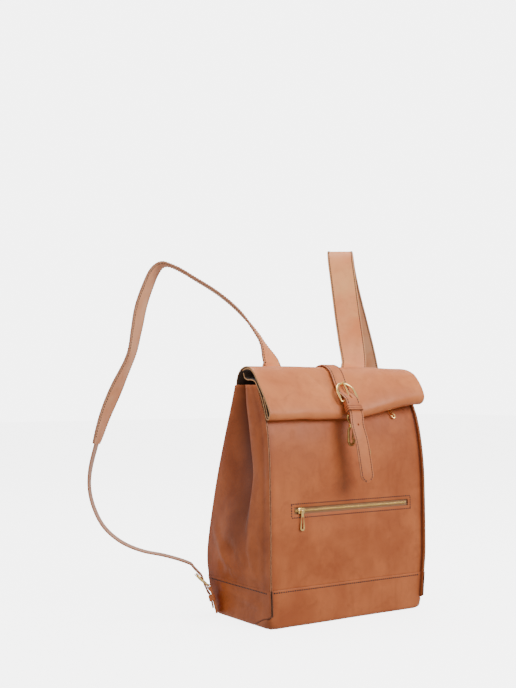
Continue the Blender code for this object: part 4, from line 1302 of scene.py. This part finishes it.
def build_wide_strap(side, sewn, wide):
    """The wide part of a shoulder strap with its sewn end, in one piece that curves where it leaves the bag.
    """
    centres, across = lengthwise(wide, WIDE_TURNS[side])
    start = smooth([Vector(p) * MM for p in sewn], 9)
    bridge = smooth([start[-2], start[-1], centres[0], centres[1]], 3)[4:6]
    line = start + bridge + centres
    directions = [X] * (len(start) + len(bridge)) + across
    widths = [STRAP_WIDTH] * len(line)
    for i, share in enumerate((0.2, 0.1, 0.05, 0.02)):
        widths[i] = STRAP_WIDTH * (1 - share)
        widths[-1 - i] = STRAP_WIDTH * (1 - share)
    hide = ribbon("shoulder_strap_hide_" + side, line, directions, widths, STRAP_THICKNESS,
                  [STRAP_LINING, EDGE_STRAP, HIDE_PALE], crown=0.3)
    seam = []
    for face in (-1, 1):
        seam += edge_stitches(line, directions, widths, STRAP_THICKNESS + 0.4, face, 2, -2)
    sewing = stamp("shoulder_strap_stitching_" + side, CAPSULE, seam, THREAD)
    for piece in (hide, sewing):
        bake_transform(piece)
    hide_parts("shoulder_strap_" + side, "strap_" + side + "_sewn_end")
    return centres


def build_shoulder_strap(side, sewn, wide, lower, bar, root):
    """A wide strap, the narrow strap below it, and its buckle on a tab from root to bar."""
    prefix = "strap_" + side
    centres = build_wide_strap(side, sewn, wide)
    tilt = math.radians(FRAME_TILT)
    bar = Vector(bar) * MM
    up = (bar - Vector(root) * MM).normalized()
    turns = LOWER_TURNS[side]
    place = frame_matrix(bar, up, up.cross(Vector(turns[-1][1])))
    leaning = place @ Matrix.Rotation(tilt, 4, "X")
    first = centres[-1] - (centres[-1] - centres[-2]).normalized() * (LOWER_OVERLAP * MM)
    route = [first] + [Vector(p) * MM for p in lower] + billet_through(place, tilt)
    route.append(place @ (Vector((0, -34, 2.0)) * MM))
    points, turned = lengthwise([p / MM for p in route], turns)
    widths = [LOWER_WIDTH] * len(points)
    for i, width in enumerate((4, 9, 13, 16.5, 19, 20.8, 21.6)):
        widths[-1 - i] = width
    strap = ribbon("lower_strap_hide_" + side, points, turned, widths, BILLET, [FLESH, EDGE_STRAP, HIDE_PALE])
    cut(strap, prism(slot_outline(0.5, 19.5), -1.5, 9, leaning))
    show(strap, prefix, "strap_leather", "lower_strap_" + side)

    refine(prefix + "_tab", prefix, HIDE_STRAP, "tan_leather", 0.5)
    build_keeper(prefix + "_keeper", prefix, place, LOWER_WIDTH, -23, -14, -3.7, 3.7, 0)
    build_frame(prefix, "buckle_" + side, leaning, LOWER_WIDTH)
    refine(prefix + "_buckle_prong", "prong_" + side, BRASS, "polished_brass", 0.55)


# ---------------------------------------------------------------- zips

ZIP_HALF_LENGTH = 113
TOOTH_PITCH = 2.1

# A zip tooth's cross-sections: where along it, and its width and height, as shares
TOOTH_RINGS = [(-1.5, 0.75, 0.75), (-0.9, 1.0, 0.85), (0.5, 1.0, 0.85), (1.1, 0.8, 0.75), (1.5, 0.4, 0.5)]


def tooth_template():
    """One zip tooth: a rounded block about 1 mm wide, with its head towards +Y."""
    verts = []
    for y, wide, tall in TOOTH_RINGS:
        verts += [Vector((0.62 * wide * cos, y, 0.9 * tall * sin)) * MM for cos, sin in around(8, 0.5)]
    return verts, [face[::-1] for face in ring_faces(len(TOOTH_RINGS), 8)]


def build_zip(prefix, place, slider, pull):
    turned = Matrix.Rotation(math.pi, 4, "Z")
    places = []
    count = int((ZIP_HALF_LENGTH - 2) * 2 / TOOTH_PITCH)
    for k in range(count):
        x = -ZIP_HALF_LENGTH + 2 + k * TOOTH_PITCH
        places.append(place @ Matrix.Translation(Vector((x, -0.75, -1.1)) * MM))
        places.append(place @ Matrix.Translation(Vector((x + TOOTH_PITCH / 2, 0.75, -1.1)) * MM) @ turned)
    teeth = stamp(prefix + "_teeth", tooth_template(), places, BRASS)
    show(teeth, "bag", "polished_brass", prefix + "_chain")
    for tape in ("_tape_upper", "_tape_lower"):
        refine(prefix + tape, "bag", TAPE, "zip_tape", 0.2)
    refine(prefix + "_pouch", "bag", LINING, "pocket_lining", 0.3)
    refine(prefix + "_slider", slider, BRASS, "polished_brass", 0.4)
    refine(prefix + "_pull", pull, BRASS, "polished_brass", 0.3)


def build_zips():
    build_zip("front_zip", frame_matrix(Vector((9, -67, 172)) * MM, Z, -Y), "front_slider", "front_pull")
    leaning = frame_matrix(Vector((-9, -43.84, 330)) * MM, (0, 0.427363, 0.904080), -Y)
    build_zip("upper_zip", leaning, "upper_slider", "upper_pull")


# ---------------------------------------------------------------- floor, light and camera

# Strength of the world: as light on the bag, what polished things see of it besides, and what the camera sees
WORLD_LIGHT = 0.46
WORLD_SHINE = 0.35
WORLD_SEEN = 5.6
FLOOR_GLOW = 4.6

# Each light's name, place, aim, size in metres and power in watts
LIGHTS = [("key_softbox", (0.7, -2.0, 1.5), (0, 0, 0.2), 1.2, 42.5),
          ("side_softbox", (-2.2, 0.3, 1.3), (0, 0, 0.3), 1.0, 8.5),
          ("top_softbox", (0.1, 0.3, 2.4), (0, 0, 0.2), 1.3, 32)]


def build_stage():
    floor = new_object("floor", [(-9, -9, 0), (9, -9, 0), (9, 9, 0), (-9, 9, 0)], [(0, 1, 2, 3)], [])
    shader = Shader("pale_floor", 0.7)
    shader.colour(srgb(250, 249, 248))
    shader.base.inputs["Emission Color"].default_value = (1.0, 1.0, 1.0, 1.0)
    shader.base.inputs["Emission Strength"].default_value = FLOOR_GLOW
    floor.data.materials.append(shader.material)
    floor.visible_diffuse = False
    floor.visible_glossy = False

    world = bpy.data.worlds.new("studio")
    world.use_nodes = True
    background = world.node_tree.nodes["Background"]
    background.inputs["Color"].default_value = (1.0, 1.0, 1.0, 1.0)
    rays = world.node_tree.nodes.new("ShaderNodeLightPath")
    level = world.node_tree.nodes.new("ShaderNodeMapRange")
    level.inputs["To Min"].default_value = WORLD_LIGHT
    level.inputs["To Max"].default_value = WORLD_SEEN
    world.node_tree.links.new(rays.outputs["Is Camera Ray"], level.inputs["Value"])
    shine = world.node_tree.nodes.new("ShaderNodeMath")
    shine.operation = "MULTIPLY_ADD"
    shine.inputs[1].default_value = WORLD_SHINE
    world.node_tree.links.new(rays.outputs["Is Glossy Ray"], shine.inputs[0])
    world.node_tree.links.new(level.outputs["Result"], shine.inputs[2])
    world.node_tree.links.new(shine.outputs["Value"], background.inputs["Strength"])
    bpy.context.scene.world = world

    for name, where, aim, size, power in LIGHTS:
        light = bpy.data.lights.new(name, "AREA")
        light.shape = "SQUARE"
        light.size = size
        light.energy = power
        obj = bpy.data.objects.new(name, light)
        obj.location = where
        obj.rotation_euler = (Vector(aim) - Vector(where)).to_track_quat("-Z", "Y").to_euler()
        bpy.context.scene.collection.objects.link(obj)


CAMERA_PLACE = (-1.0424, -1.357, 0.3577)
CAMERA_YAW = 34.07
CAMERA_PITCH = 2.32
CAMERA_LENS = 55.45


def build_camera():
    data = bpy.data.cameras.new("camera")
    data.lens = CAMERA_LENS
    data.sensor_width = 36
    camera = bpy.data.objects.new("camera", data)
    camera.location = CAMERA_PLACE
    camera.rotation_euler = (math.radians(90 + CAMERA_PITCH), 0, math.radians(-CAMERA_YAW))
    bpy.context.scene.collection.objects.link(camera)
    bpy.context.scene.camera = camera


build_camera()
build_stage()
build_front()
build_back()
build_gusset("left", -1)
build_gusset("right", 1)
build_side_band("left", -1)
build_side_band("right", 1)
build_base()
build_body_seams()
build_roll()
build_zips()
build_closure()
build_snap_hook()
build_ring()
build_shoulder_strap("left", SEWN_LEFT, WIDE_LEFT, LOWER_LEFT, (-165.5, 77, 45), (-160, 65.5, 4))
build_shoulder_strap("right", SEWN_RIGHT, WIDE_RIGHT, LOWER_RIGHT, (165.5, 77, 45), (160, 65.5, 4))
